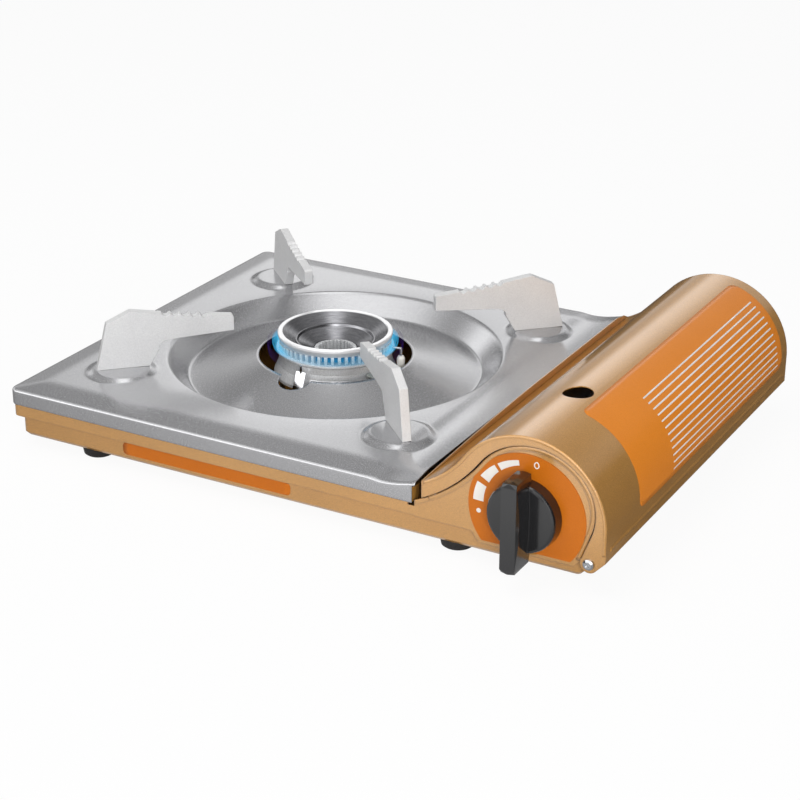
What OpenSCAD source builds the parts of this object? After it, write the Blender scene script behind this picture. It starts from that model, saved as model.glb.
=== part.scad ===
// Tabletop stove for a butane cartridge, built as separate pieces.
// Every module draws in the plate frame: X runs right and Y runs back from the front left corner
// of the top plate, and z = 0 is the fold at the plate's edge. stand() moves a piece to the row
// frame, whose origin is the centre of the stove's footprint at the level of the feet.

/* [Top plate] */
// Width of the steel top plate, left to right
plate_w = 264; // [250:1:280]
// Depth of the steel top plate, front to back
plate_d = 272; // [262:1:285]
// Sheet thickness of the top plate
plate_t = 0.6; // [0.5:0.1:0.8]
// Height of the skirt that hangs from the plate's edge
skirt_h = 9.2; // [7:0.2:11]
// Plan radius of the plate's corners
plate_corner_r = 5.5; // [5:0.5:10]
// Width of the bevelled border
border_w = 15.5; // [10:0.5:18]
// Rise of the bevelled border
border_rise = 2; // [1:0.2:3]
// Width of the gutter beside the lid
gutter_w = 29; // [27:0.5:31]
// Depth of that gutter
gutter_depth = 0.7; // [0.3:0.1:1.2]
// Height of the turned-up end beside the lid
gutter_lip = 2.7; // [1.5:0.1:3.2]

/* [Drip bowl] */
// Distance from the bowl's rim to the plate's right edge
bowl_right = 28.1; // [27:0.1:34]
// Distance of the bowl's centre from the plate's front edge
bowl_y = 137.4; // [132:0.2:140]
// Radius of the bowl's rim
bowl_r = 100.3; // [96:0.1:104]
// Width of the bowl's wall, from its rim in to the ring where the floor starts
bowl_wall = 12.7; // [11:0.1:14]
// Depth of that ring below the plate
bowl_depth = 12.4; // [11:0.1:13]
// Radius of the burner hole
hole_r = 45.6; // [44:0.1:48]
// Width of the notch at the front of the burner hole
notch_w = 20; // [16:1:24]

/* [Pot supports] */
// Sideways distance from the bowl's centre to a boss
boss_dx = 92; // [90:0.5:94]
// Distance front to back from the bowl's centre to a boss
boss_dy = 88; // [86:0.5:90]
// Radius of a boss at its foot
boss_r = 20; // [18:0.5:21]
// Radius of the flat top of a boss
boss_top_r = 16; // [15:0.5:17]
// Height of a boss above the plate
boss_h = 2.2; // [1.5:0.1:3]
// Thickness of a pot support
support_t = 5; // [3:0.5:6]
// Height of a pot support's peak above its boss
support_h = 34.3; // [30:0.5:38]
// Radius at which a support's inner tip ends
support_tip_r = 61; // [57:1:66]
// Number of teeth on a support's upper edge
support_teeth = 5; // [3:1:6]

/* [Burner] */
// Outer radius of the polished cap
cap_r = 34.2; // [33:0.1:36]
// Height of the cap's rim above the plate's edge
cap_z = 14.9; // [13:0.1:17]
// Height of the cap's outer band
cap_band_h = 4.4; // [3:0.1:5]
// Height of the flame ports
port_h = 5.2; // [4:0.1:6]
// Number of flame ports
port_count = 52; // [40:1:60]
// Width of one flame port
port_w = 2.2; // [1.6:0.1:2.4]
// Radius of the inner slotted ring
inner_ring_r = 12.5; // [11:0.1:13]
// Outer radius of the mixing tube
mix_r = 6.2; // [5.5:0.1:6.2]
// Wall of the mixing tube
mix_wall = 0.8; // [0.6:0.1:1]

/* [Base] */
// Height of the base below the plate's edge
base_h = 29.5; // [27:0.5:32]
// Sheet thickness of the base
base_t = 0.6; // [0.5:0.1:0.8]
// How far the base's lower band lies inside the plate's edge
band_in = 4.4; // [3:0.2:6]
// Running gap between the plate's skirt and the base
skirt_gap = 0.35; // [0.3:0.05:0.6]
// Level of the step in the base's wall below the plate's edge
step_drop = 16.4; // [14:0.2:18]
// Height of a rubber foot
foot_h = 5.5; // [5:0.5:10]
// Radius of a rubber foot
foot_r = 9.5; // [8:0.5:11]
// Distance from the base's left edge to the left feet
foot_left = 46; // [40:1:56]
// Distance from the right feet to the base's right side
foot_right = 75.9; // [70:0.1:90]
// Distance from the plate's front or back edge to the feet
foot_edge_y = 16; // [15.5:0.5:24]

/* [Cartridge lid] */
// Width of the lid
lid_w = 103.1; // [102:0.1:105]
// Gap between the top plate and the lid
lid_gap = 4.4; // [3.6:0.1:5.5]
// Radius of the lid's dome
lid_r = 43.4; // [43:0.1:45]
// Sheet thickness of the lid
lid_t = 0.6; // [0.5:0.1:0.8]
// How far the lid's back face lies inside the plate's back edge
lid_back_in = 7.4; // [6:0.1:9]
// How far the lid's front face stands before the plate's edge
lid_front = 0.8; // [0.6:0.1:1]
// Direction in which the dome meets the concave side, from the right
lid_sweep_angle = 145; // [143:0.5:147]
// Height of the lid's left edge
lid_edge_z = 5.1; // [4:0.1:6]
// Rise of the lid's left edge from its front corner to its middle
lid_edge_rise = 4.6; // [3:0.1:5]
// Depth of the down-turned end flange below the left corner
flange_left = 9.5; // [8:0.1:10.5]
// Depth of the end flange at the top of the dome
flange_top = 5.2; // [4.5:0.1:6]
// Depth of the end flange at the right wall
flange_right = 6.3; // [5.5:0.1:7]
// Depth of the lid's right wall below the plate's edge
lid_wall_drop = 16; // [14:0.2:17]
// Radius of the sight hole
sight_r = 8.15; // [6:0.1:9]
// Distance of the hinge pin from the lid's right side
hinge_in = 8.8; // [8:0.1:10]
// Level of the hinge pin below the plate's edge
hinge_drop = 18.2; // [17:0.2:19]

/* [Cartridge and regulator] */
// Radius of a standard cartridge's can
can_r = 33.5; // [33:0.1:34]
// Height of the cartridge's axis above the plate's edge
can_z = 7.5; // [7:0.1:8]
// Distance from the plate's front edge to the docking bracket
dock_y = 50; // [46:0.5:54]
// Radius of the socket that takes the cartridge's collar
socket_r = 17.25; // [16:0.05:18]
// Length of that socket
socket_len = 6; // [4:0.5:8]
// Radius of the regulator body
governor_r = 20; // [18:0.5:21]

/* [Knob and igniter] */
// Distance of the knob's axis from the lid's left edge
knob_in = 58.9; // [58:0.1:60]
// Height of the knob's axis above the plate's edge
knob_z = 0.6; // [0:0.1:1.5]
// Radius of the knob's round skirt
knob_r = 19.7; // [18:0.1:21]
// Length of the paddle grip, top to bottom
grip_len = 49; // [42:1:54]
// How far the grip stands before the plate's edge
grip_front = 20.5; // [18:0.5:24]
// Width of the grip at its ends
grip_w = 7.6; // [6:0.2:9]
// Radius of the dial plate
dial_r = 32.5; // [31:0.1:33]
// Radius of the valve spindle
spindle_r = 3; // [2.5:0.1:3.5]
// Turn of the knob from closed to ignition, in degrees
knob_turn = 100; // [80:5:120]
// Stroke of the igniter's plunger over that turn
plunger_stroke = 5; // [3:0.5:6]

/* [Hidden] */
$fn = 96;

// Small distances
eps = 0.01;
run_gap = 0.05;
rest_gap = 0.3;

// Colours
gold = [0.72, 0.53, 0.27];
dark_gold = [0.45, 0.33, 0.18];
steel = [0.72, 0.72, 0.73];
bright = [0.85, 0.85, 0.86];
zinc = [0.62, 0.63, 0.65];
brass = [0.78, 0.62, 0.3];
black = [0.06, 0.06, 0.07];
rubber = [0.16, 0.15, 0.15];
orange = [0.82, 0.43, 0.12];
ceramic = [0.93, 0.92, 0.88];

// Overall frame
lid_x0 = plate_w + lid_gap;
lid_x1 = lid_x0 + lid_w;
bead_proud = 0.5;
mid_x = (lid_x1 + bead_proud) / 2;
mid_y = (plate_d - grip_front) / 2;
floor_z = -base_h - foot_h;
body_rim_r = cap_r + 0.9;
body_flare = 1.6;
module stand() {
    translate([-mid_x, -mid_y, -floor_z]) children();
}

// Helpers
function arc(c, r, a0, a1, n) =
    [for (i = [0:n]) let(a = a0 + (a1 - a0) * i / n) [c[0] + r * cos(a), c[1] + r * sin(a)]];
module along_y(x, y, z) {
    translate([x, y, z]) rotate([-90, 0, 0]) children();
}
module xz_plate(y, t) {
    translate([0, y + t, 0]) rotate([90, 0, 0]) linear_extrude(t) children();
}
module rounded_slab(x0, x1, y0, y1, r, z0, z1, inset = 0) {
    rr = max(r - inset, 0.4);
    translate([0, 0, z0]) linear_extrude(z1 - z0) union() {
        translate([x0 + inset + rr, y0 + inset])
            square([x1 - x0 - 2 * inset - 2 * rr, y1 - y0 - 2 * inset]);
        translate([x0 + inset, y0 + inset + rr])
            square([x1 - x0 - 2 * inset, y1 - y0 - 2 * inset - 2 * rr]);
        for (x = [x0 + inset + rr, x1 - inset - rr], y = [y0 + inset + rr, y1 - inset - rr])
            translate([x, y]) circle(r = rr, $fn = 32);
    }
}
module pan_head_screw(shank_r, shank_len, head_r, head_h) {
    rotate_extrude() polygon([[0, -shank_len], [shank_r, -shank_len], [shank_r, 0],
        [head_r, 0], [head_r, head_h * 0.5], [head_r * 0.7, head_h], [0, head_h]]);
    }

// Top plate
plateau_z = border_rise;
bowl_x = plate_w - bowl_right - bowl_r;
bowl_floor_r = bowl_r - bowl_wall;
bowl_z = plateau_z - bowl_depth;
floor_rise = -bowl_z + 0.3;
gutter_x0 = plate_w - gutter_w;
gutter_x1 = plate_w - 0.7 * gutter_w;
function gutter(x) =
    x < gutter_x0 ? 0
    : x < gutter_x1
        ? -gutter_depth * (1 - cos(180 * (x - gutter_x0) / (gutter_x1 - gutter_x0))) / 2
        : -gutter_depth + (gutter_depth + gutter_lip)
            * (1 - cos(90 * (x - gutter_x1) / (plate_w - gutter_x1)));
function bowl_floor_z(r) =
    bowl_z + floor_rise * pow(max(0, bowl_floor_r - r) / (bowl_floor_r - hole_r), 1.25);
gutter_steps = 10;
// Keeps the gutter's folds in the borders off those in the plateau
fold_shift = 0.25;
plate_base_z = -16;
border_tilt = atan2(border_rise, border_w);
// Region below the plate's left edge, plateau and gutter, seen from the front
module gutter_profile(left, lift, base_z, shift = 0) {
    polygon(concat([[-1, base_z]], left, [[gutter_x0 + shift, lift]],
        [for (i = [1:gutter_steps]) let(x = gutter_x0 + gutter_w * i / gutter_steps)
            [x + shift, lift + gutter(x)]],
        [[plate_w + shift, base_z]]));
}
// Solid under the pressed surface: bevel and plateau, then the tilted front and back borders
module plate_relief() {
    slope = border_rise / border_w;
    deep_z = plate_base_z - plate_d * slope;
    intersection() {
        xz_plate(-1, plate_d + 2)
            gutter_profile([[-1, -slope], [border_w, plateau_z]], plateau_z, plate_base_z);
        rotate([border_tilt, 0, 0]) xz_plate(-6, plate_d + 20)
            gutter_profile([[-1, 0]], 0, deep_z, fold_shift);
        translate([0, plate_d, 0]) rotate([-border_tilt, 0, 0])
            xz_plate(-plate_d - 14, plate_d + 20) gutter_profile([[-1, 0]], 0, deep_z, fold_shift);
    }
}
boss_top_z = plateau_z + boss_h;
boss_slope = boss_h / (boss_r - boss_top_r);
boss_skirt = 5;
module boss_cone() {
    rotate_extrude($fn = 64) polygon([[0, plate_base_z + 8], [boss_r + boss_skirt, plate_base_z + 8],
        [boss_r + boss_skirt, plateau_z - boss_slope * boss_skirt], [boss_top_r, boss_top_z],
        [0, boss_top_z]]);
}
module bowl_cut() {
    translate([bowl_x, bowl_y, 0]) rotate_extrude() polygon(concat(
        [[0, 40], [bowl_r + 40, 40], [bowl_r, plateau_z], [bowl_r - 1.4, plateau_z - 0.7]],
        [[bowl_floor_r + 1.2, bowl_z + 1.4]],
        [for (i = [0:8]) let(r = bowl_floor_r - (bowl_floor_r - hole_r) * i / 8)
            [r, bowl_floor_z(r)]],
        [[0, bowl_floor_z(hole_r)]]));
}
module at_bosses() {
    for (sx = [-1, 1], sy = [-1, 1])
        translate([bowl_x + sx * boss_dx, bowl_y + sy * boss_dy, 0]) children();
}
module plate_form() {
    difference() {
        union() {
            plate_relief();
            at_bosses() boss_cone();
        }
        difference() {
            bowl_cut();
            at_bosses() cylinder(r = boss_r + boss_skirt, h = 40);
        }
    }
}
boss_c = sqrt(boss_dx * boss_dx + boss_dy * boss_dy);
tab_len = 7;
tab_t = 2;
tab_spots = [boss_c - 9, boss_c + 7];
module support_turn(sx, sy) {
    translate([bowl_x, bowl_y, 0]) rotate([0, 0, atan2(sy * boss_dy, sx * boss_dx)]) children();
}
module top_plate() {
    color(steel) stand() difference() {
        intersection() {
            plate_form();
            rounded_slab(0, plate_w + plate_corner_r, 0, plate_d, plate_corner_r, plate_base_z, 20);
        }
        intersection() {
            translate([0, 0, -plate_t]) plate_form();
            rounded_slab(0, plate_w + 3 * plate_corner_r, 0, plate_d, plate_corner_r,
                plate_base_z - 1, 20, plate_t);
        }
        difference() {
            translate([-1, -1, plate_base_z - 1])
                cube([plate_w + 2, plate_d + 2, -skirt_h - plate_base_z + 1]);
            translate([bowl_x, bowl_y, plate_base_z - 1]) cylinder(r = bowl_r - 1, h = 20);
        }
        translate([bowl_x, bowl_y, plate_base_z - 2]) cylinder(r = hole_r, h = 40);
        translate([bowl_x, bowl_y - hole_r, plate_base_z - 2])
            cylinder(r = notch_w / 2, h = 40);
        for (sx = [-1, 1], sy = [-1, 1]) support_turn(sx, sy) for (r = tab_spots)
            translate([r - tab_len / 2 - 0.15, -tab_t / 2 - 0.15, -10])
                cube([tab_len + 0.3, tab_t + 0.3, 20]);
    }
}

// Pot supports: outline in radius and height, teeth cut into the sloping edge
support_peak_z = boss_top_z + support_h;
support_foot_r0 = boss_c - 16.3;
support_foot_r1 = boss_c + 14.2;
tooth_pitch = 5.6;
tooth_r = 2.4;
tooth_start = support_tip_r + 17;
function edge_z(r) = support_peak_z - 6
    + 3.5 * (r - support_tip_r - 15) / (support_foot_r0 - 6 - support_tip_r - 15);
module support_outline() {
    difference() {
        polygon(concat(
            [[support_tip_r, support_peak_z - 16.8]],
            arc([support_tip_r + 1.5, support_peak_z - 9], 1.5, 180, 95, 4),
            [[support_tip_r + 15, edge_z(support_tip_r + 15)],
             [support_foot_r0 - 6, edge_z(support_foot_r0 - 6)]],
            arc([support_foot_r0 + 9.5, support_peak_z - 3], 3, 105, 65, 3),
            [[support_foot_r1 - 6.5, support_peak_z - 6.5], [support_foot_r1, boss_top_z]],
            [[support_foot_r0, boss_top_z], [support_foot_r0 - 6, support_peak_z - 24]],
            arc([support_foot_r0 - 11, support_peak_z - 25], 5.6, 20, 90, 6),
            [[support_foot_r0 - 19, support_peak_z - 18.6]]));
        for (i = [0:support_teeth - 1]) let(r = tooth_start + i * tooth_pitch)
            translate([r, edge_z(r) + tooth_r - 1.5]) circle(r = tooth_r, $fn = 24);
    }
}
module pot_support(sx, sy) {
    color(steel) stand() support_turn(sx, sy) {
        translate([0, support_t / 2, 0]) rotate([90, 0, 0]) linear_extrude(support_t)
            support_outline();
        for (r = tab_spots) translate([r - tab_len / 2, -tab_t / 2, boss_top_z - 4.5])
            cube([tab_len, tab_t, 4.5]);
    }
}
module pot_support_front_left() { pot_support(-1, -1); }
module pot_support_front_right() { pot_support(1, -1); }
module pot_support_back_left() { pot_support(-1, 1); }
module pot_support_back_right() { pot_support(1, 1); }

// Area in X and Z under a dome (centre c, radius r) that runs at angle a into a concave arc
// down to the point edge at the left, and into a straight wall at the right
dome_x = lid_x1 - lid_r;
tangent_cut = 0.9;
module swept_area(c, r, a, edge, inset, foot_z, edge_in) {
    u = [cos(a), sin(a)];
    v = edge - c - r * u;
    arc_r = (v * v) / (2 * (v * u));
    meet_z = c[1] + (r - inset) * sin(a) - tangent_cut;
    intersection() {
        translate([edge[0] + edge_in, foot_z]) square([lid_w, c[1] + r - foot_z + 1]);
        union() {
            translate(c) circle(r = r - inset, $fn = 180);
            translate([c[0] - eps, foot_z]) square([r - inset + eps, c[1] - foot_z]);
            difference() {
                translate([edge[0] - 9, foot_z]) square([c[0] - edge[0] + 9, meet_z - foot_z]);
                translate(c + (r + arc_r) * u) circle(r = arc_r + inset, $fn = 240);
            }
        }
    }
}
module lid_region(inset, foot_z, edge_in = 0) {
    swept_area([dome_x, 0], lid_r, lid_sweep_angle, [lid_x0, lid_edge_z], inset, foot_z, edge_in);
}
hinge_x = lid_x1 - hinge_in;
hinge_z = -hinge_drop;
lobe_r = 4.9;
// Opening inside the end flanges: its dome sits a little to the right of the lid's
open_r = lid_r - 6.8;
open_c = [dome_x + 2.8, lid_r - flange_top - open_r];
open_x1 = lid_x1 - flange_right;
open_wall_z = 2;
open_soft_r = open_r * 0.75;
module opening_region(inset, foot_z, edge_in = 0) {
    low_z = foot_z - 2 * open_soft_r;
    intersection() {
        swept_area(open_c, open_r, lid_sweep_angle - 1, [lid_x0, lid_edge_z - flange_left],
            inset, foot_z, edge_in);
        offset(r = open_soft_r, $fn = 180) offset(delta = -open_soft_r) intersection() {
            union() {
                translate(open_c) circle(r = open_r - inset, $fn = 180);
                translate([open_c[0] - lid_w * 2, low_z])
                    square([lid_w * 2, open_c[1] + open_r - inset - low_z]);
                translate([open_c[0] - eps, low_z]) square([open_r, open_c[1] - low_z]);
            }
            polygon([[open_c[0] - lid_w * 2, low_z], [hinge_x - lobe_r - inset, low_z],
                [hinge_x - lobe_r - inset, hinge_z], [open_x1 - inset, open_wall_z],
                [open_x1 - inset, lid_r], [open_c[0] - lid_w * 2, lid_r]]);
        }
    }
}
hinge_pin_r = 1.55;
lid_y0 = -lid_front;
lid_y1 = plate_d - lid_back_in;
lid_len = lid_y1 - lid_y0;
// Angle at which the line from the wall's foot touches the lobe
lobe_dir = atan2(hinge_drop - lid_wall_drop, hinge_in)
    - acos(lobe_r / sqrt(hinge_in * hinge_in + pow(hinge_drop - lid_wall_drop, 2)));
module hinge_lobe() {
    lobe_in = lobe_r - 0.03;
    difference() {
        union() {
            translate([hinge_x, hinge_z]) circle(r = lobe_r, $fn = 48);
            polygon([[hinge_x, hinge_z],
                [hinge_x + lobe_in * cos(lobe_dir), hinge_z + lobe_in * sin(lobe_dir)],
                [lid_x1, -lid_wall_drop], [lid_x1, open_wall_z], [open_x1, open_wall_z],
                [hinge_x - lobe_r, hinge_z]]);
        }
        translate([hinge_x, hinge_z]) circle(r = hinge_pin_r + run_gap, $fn = 48);
    }
}
module lid_flange() {
    difference() {
        lid_region(0, -lid_wall_drop);
        opening_region(0, -lid_wall_drop - 1, -1);
    }
}
bead_z = -10.5;
bead_h = 3;
lip_h = 2.5;
// Side view of the lid's left edge: it rises from the front corner and then runs level
lid_rise_y = lid_len * 0.52;
module lid_edge_strip() {
    polygon(concat([[lid_y1, lid_edge_z - lip_h], [lid_y0, lid_edge_z - lip_h]],
        [for (i = [0:10]) let(s = i / 10)
            [lid_y0 + lid_rise_y * s, lid_edge_z + 0.3
                + (lid_edge_rise - 0.3) * (1 - pow(1 - s, 1.8))]],
        [[lid_y1 - 16, lid_edge_z + lid_edge_rise],
         [lid_y1 - 5, lid_edge_z + 0.6 * lid_edge_rise], [lid_y1, lid_edge_z + 0.4]]));
}
sight_x = dome_x - 2;
sight_y = dock_y + 11.8;
module cartridge_lid() {
    color(gold) stand() {
        difference() {
            union() {
                difference() {
                    xz_plate(lid_y0, lid_len) lid_region(0, -lid_wall_drop);
                    xz_plate(lid_y0 - 1, lid_len + 2) lid_region(lid_t, -lid_wall_drop - 1, lid_t);
                    translate([lid_x0 - 1, lid_y0 - 1, -lid_wall_drop - 1])
                        cube([2, lid_len + 2, lid_wall_drop + lid_edge_z - lip_h + 1]);
                }
                xz_plate(lid_y0, lid_t) lid_flange();
                xz_plate(lid_y1 - lid_t, lid_t) lid_flange();
                xz_plate(lid_y0, lid_t) hinge_lobe();
                xz_plate(lid_y1 - lid_t, lid_t) hinge_lobe();
                translate([lid_x0, 0, 0]) rotate([90, 0, 90]) linear_extrude(lid_t) lid_edge_strip();
                translate([lid_x1 - eps, lid_y0 + 6, bead_z]) rotate([-90, 0, 0])
                    linear_extrude(lid_len - 12) polygon([[0, -bead_h / 2],
                        [bead_proud, -bead_h / 5], [bead_proud, bead_h / 5], [0, bead_h / 2]]);
            }
            translate([sight_x, sight_y, 10]) cylinder(r = sight_r, h = 50, $fn = 64);
        }
    }
}
catch_y = 140;
catch_w = 14;
catch_z = -4.5;
catch_bump_r = 0.9;
catch_leg_x = lid_x0 + 3.2;
module lid_catch() {
    color(dark_gold) stand() xz_plate(catch_y - catch_w / 2, catch_w) {
        intersection() {
            difference() {
                lid_region(lid_t, -12, 0);
                lid_region(lid_t + 0.8, -12, -1);
            }
            translate([catch_leg_x, 0]) square([12, 20]);
        }
        intersection() {
            lid_region(lid_t, -12, 0);
            translate([catch_leg_x, catch_z - 1.5]) square([0.8, 20]);
        }
        translate([catch_leg_x + 0.2, catch_z]) circle(r = catch_bump_r, $fn = 24);
    }
}

// Base tray: two-step wall, dial panel at the front right
tray_x0 = band_in;
tray_x1 = hinge_x - lobe_r - 0.5;
tray_y0 = band_in;
tray_y1 = plate_d - band_in;
wall_in = plate_t + skirt_gap;
wall_y0 = wall_in;
wall_y1 = plate_d - wall_in;
wall_top = -plate_t - gutter_depth - 0.2;
split_x = plate_w - 2;
side_x1 = hinge_x + 2.6;
side_top = -11;
step_z = -step_drop;
step_h = 1.6;
edge_round = 2.2;
panel_gap = 0.8;
panel_y = wall_in;
rear_y = lid_y1 - lid_t - 0.8 - base_t;
knob_x = lid_x0 + knob_in;
pad_r = dial_r + 2.8;
pad_cut = 21.5;
tray_r = plate_corner_r - 1;
module tray_form(inset, lift) {
    // lower band with its rounded bottom edge
    hull() {
        rounded_slab(tray_x0, tray_x1, tray_y0, tray_y1, tray_r, -base_h + lift,
            -base_h + lift + 0.1, inset + edge_round);
        rounded_slab(tray_x0, tray_x1, tray_y0, tray_y1, tray_r, -base_h + edge_round,
            step_z - step_h + eps, inset);
    }
    // sloping step and upper band on the burner side
    hull() {
        rounded_slab(tray_x0, split_x, tray_y0, tray_y1, tray_r, step_z - step_h,
            step_z - step_h + eps, inset);
        rounded_slab(wall_in, split_x, wall_y0, wall_y1, tray_r, step_z - eps, step_z, inset);
    }
    rounded_slab(wall_in, split_x, wall_y0, wall_y1, tray_r, step_z - eps,
        wall_top + (inset > 0 ? 1 : 0), inset);
    // sloping step and low side wall on the cartridge side
    hull() {
        rounded_slab(split_x - 20, tray_x1, tray_y0, rear_y, tray_r, step_z - step_h,
            step_z - step_h + eps, inset);
        rounded_slab(split_x - 20, side_x1, wall_y0, rear_y, tray_r, step_z - eps, step_z, inset);
    }
    rounded_slab(split_x - 20, side_x1, wall_y0, rear_y, tray_r, step_z - eps,
        side_top + (inset > 0 ? 1 : 0), inset);
}
ear_r = lobe_r - rest_gap;
// Ear behind the lid's lobe, joined to the panel
module hinge_ear() {
    translate([hinge_x, hinge_z]) circle(r = ear_r, $fn = 48);
    translate([hinge_x - 10, hinge_z]) square([10 + ear_r, 10]);
}
panel_bead_w = 2.2;
panel_bead_proud = 0.65;
module base_tray() {
    color(gold) stand() {
        difference() {
            union() {
                difference() {
                    tray_form(0, 0);
                    tray_form(base_t, base_t);
                }
                xz_plate(panel_y, base_t) {
                    opening_region(panel_gap, step_z - 0.5, -5);
                    hinge_ear();
                }
                // bead along the panel's edge
                xz_plate(panel_y - panel_bead_proud, panel_bead_proud + eps) difference() {
                    opening_region(panel_gap, side_top, rest_gap - lid_gap);
                    opening_region(panel_gap + panel_bead_w, side_top - 1, rest_gap - lid_gap);
                    translate([knob_x, knob_z]) circle(r = dial_r + rest_gap, $fn = 144);
                }
                // round pad of the dial, carried down over the step
                intersection() {
                    along_y(knob_x, panel_y, knob_z) cylinder(r = pad_r, h = tray_y0 - panel_y + base_t);
                    translate([knob_x - pad_r, panel_y, -pad_cut - 1.2])
                        cube([2 * pad_r, 10, pad_cut - step_drop + 1.7]);
                }
            }
            along_y(knob_x, panel_y - 1, knob_z) cylinder(r = spindle_r + 2.5, h = 10);
            along_y(hinge_x, panel_y - 1, hinge_z) cylinder(r = hinge_pin_r + run_gap, h = 6);
            // the burner side's right wall is the separate partition
            translate([split_x - 21, wall_y0 + base_t + 8, step_z - step_h - 0.2])
                cube([30, wall_y1 - wall_y0 - 2 * base_t - 17, 40]);
            for (y = [panel_y + base_t, rear_y - nut_room]) along_y(hinge_x, y, hinge_z)
                cylinder(r = nut_r + rest_gap, h = nut_room);
            for (p = foot_places) translate([p[0], p[1], -base_h]) screw_hole();
            at_lugs() translate([lug_hole_r, 0, -base_h]) screw_hole();
            for (x = governor_screw_xs) translate([x, governor_screw_y, -base_h]) screw_hole();
            for (x = panel_screw_xs) translate([x, panel_screw_y, -base_h]) screw_hole();
        }
    }
}
tray_floor = -base_h + base_t;
screw_r = 1.5;
screw_head_r = 3;
screw_head_h = 1.8;
module screw_hole() {
    translate([0, 0, -1]) cylinder(r = screw_r + 0.1, h = 4, $fn = 32);
}

// Rear panel: closes the cartridge side under the lid's back flange
panel_foot = 9;
panel_foot_x0 = tray_x1 - foot_right + screw_head_r + 2;
panel_screw_xs = [panel_foot_x0 + 4, panel_foot_x0 + 52];
panel_screw_y = rear_y - panel_foot / 2;
module rear_panel() {
    color(gold) stand() difference() {
        union() {
            xz_plate(rear_y, base_t) {
                intersection() {
                    opening_region(panel_gap, tray_floor, 3);
                    translate([0, tray_floor])
                        square([tray_x1 - base_t - edge_round - rest_gap, 100]);
                }
                intersection() {
                    hinge_ear();
                    translate([hinge_x - 20, step_z - ear_r]) square([40, 20]);
                }
            }
            translate([panel_foot_x0, rear_y - panel_foot, tray_floor])
                cube([tray_x1 - tray_r - panel_foot_x0, panel_foot + base_t, base_t]);
        }
        along_y(hinge_x, rear_y - 1, hinge_z) cylinder(r = hinge_pin_r + run_gap, h = 6);
        for (x = panel_screw_xs) translate([x, panel_screw_y, tray_floor]) screw_hole();
    }
}

// Partition between burner side and cartridge bay
wall_x = lid_x0 - 2.1;
nozzle_x = lid_x0 + 31.6;
nozzle_y = dock_y - 10;
tube_turn = atan2(bowl_y - nozzle_y, bowl_x - nozzle_x);
mix_z = tray_floor + mix_r + 1.4;
tube_cross_y = nozzle_y + (nozzle_x - wall_x) * tan(180 - tube_turn);
strip_y = bowl_y - 15;
module partition_wall() {
    color(steel) stand() difference() {
        union() {
            translate([wall_x, wall_y0 + base_t + 10, tray_floor])
                cube([base_t, rear_y - wall_y0 - base_t - 12, -tray_floor + 0.5]);
            translate([wall_x, wall_y0 + base_t + 10, tray_floor])
                cube([8, rear_y - wall_y0 - base_t - 12, base_t]);
        }
        translate([wall_x - 1, tube_cross_y - 11, tray_floor - 1]) cube([12, 22, 20]);
        translate([wall_x - 1, strip_y - strip_w / 2 - rest_gap, strip_z])
            cube([3, strip_w + 2 * rest_gap, strip_t + rest_gap]);
        translate([wall_x - 1, lead_hole_y - 5, tray_floor - 1]) cube([12, 10, 8]);
    }
}
lead_hole_y = 96;

// Saddles under the cartridge
cradle_ys = [dock_y + 38, rear_y - 47.6];
cradle_w = 52;
cradle_h = 15;
module cartridge_cradle() {
    color(zinc) stand() for (y = cradle_ys) xz_plate(y, 3) difference() {
        translate([dome_x - cradle_w / 2, tray_floor]) square([cradle_w, cradle_h]);
        translate([dome_x, can_z]) circle(r = can_r + 0.5);
    }
}

// Heat conductor: strip from beside the flame to the cartridge's underside
strip_t = 1;
strip_w = 10;
strip_z = bowl_z - plate_t - rest_gap - 0.3 - strip_t;
strip_tip_x = bowl_x + sqrt(pow(body_rim_r - 1.7, 2) - pow(bowl_y - strip_y - strip_w / 2, 2)) + 0.5;
hug_r = can_r + 0.6;
module heat_conductor() {
    color([0.3, 0.28, 0.27]) stand() {
        xz_plate(strip_y - strip_w / 2, strip_w) {
            polygon([[strip_tip_x, -0.4], [strip_tip_x + 6.4, -1.6], [strip_tip_x + 13, strip_z + strip_t],
                [dome_x - hug_r + 6, strip_z + strip_t], [dome_x - hug_r + 6, strip_z],
                [strip_tip_x + 12.4, strip_z], [strip_tip_x + 5.9, -2.6], [strip_tip_x, -1.4]]);
        }
        xz_plate(strip_y - 20, 40) intersection() {
            difference() {
                translate([dome_x, can_z]) circle(r = hug_r + strip_t);
                translate([dome_x, can_z]) circle(r = hug_r);
            }
            polygon([[dome_x, can_z], [dome_x - 60, strip_z + strip_t], [dome_x - 60, -70],
                [dome_x - 14, -70]]);
        }
    }
}

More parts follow.
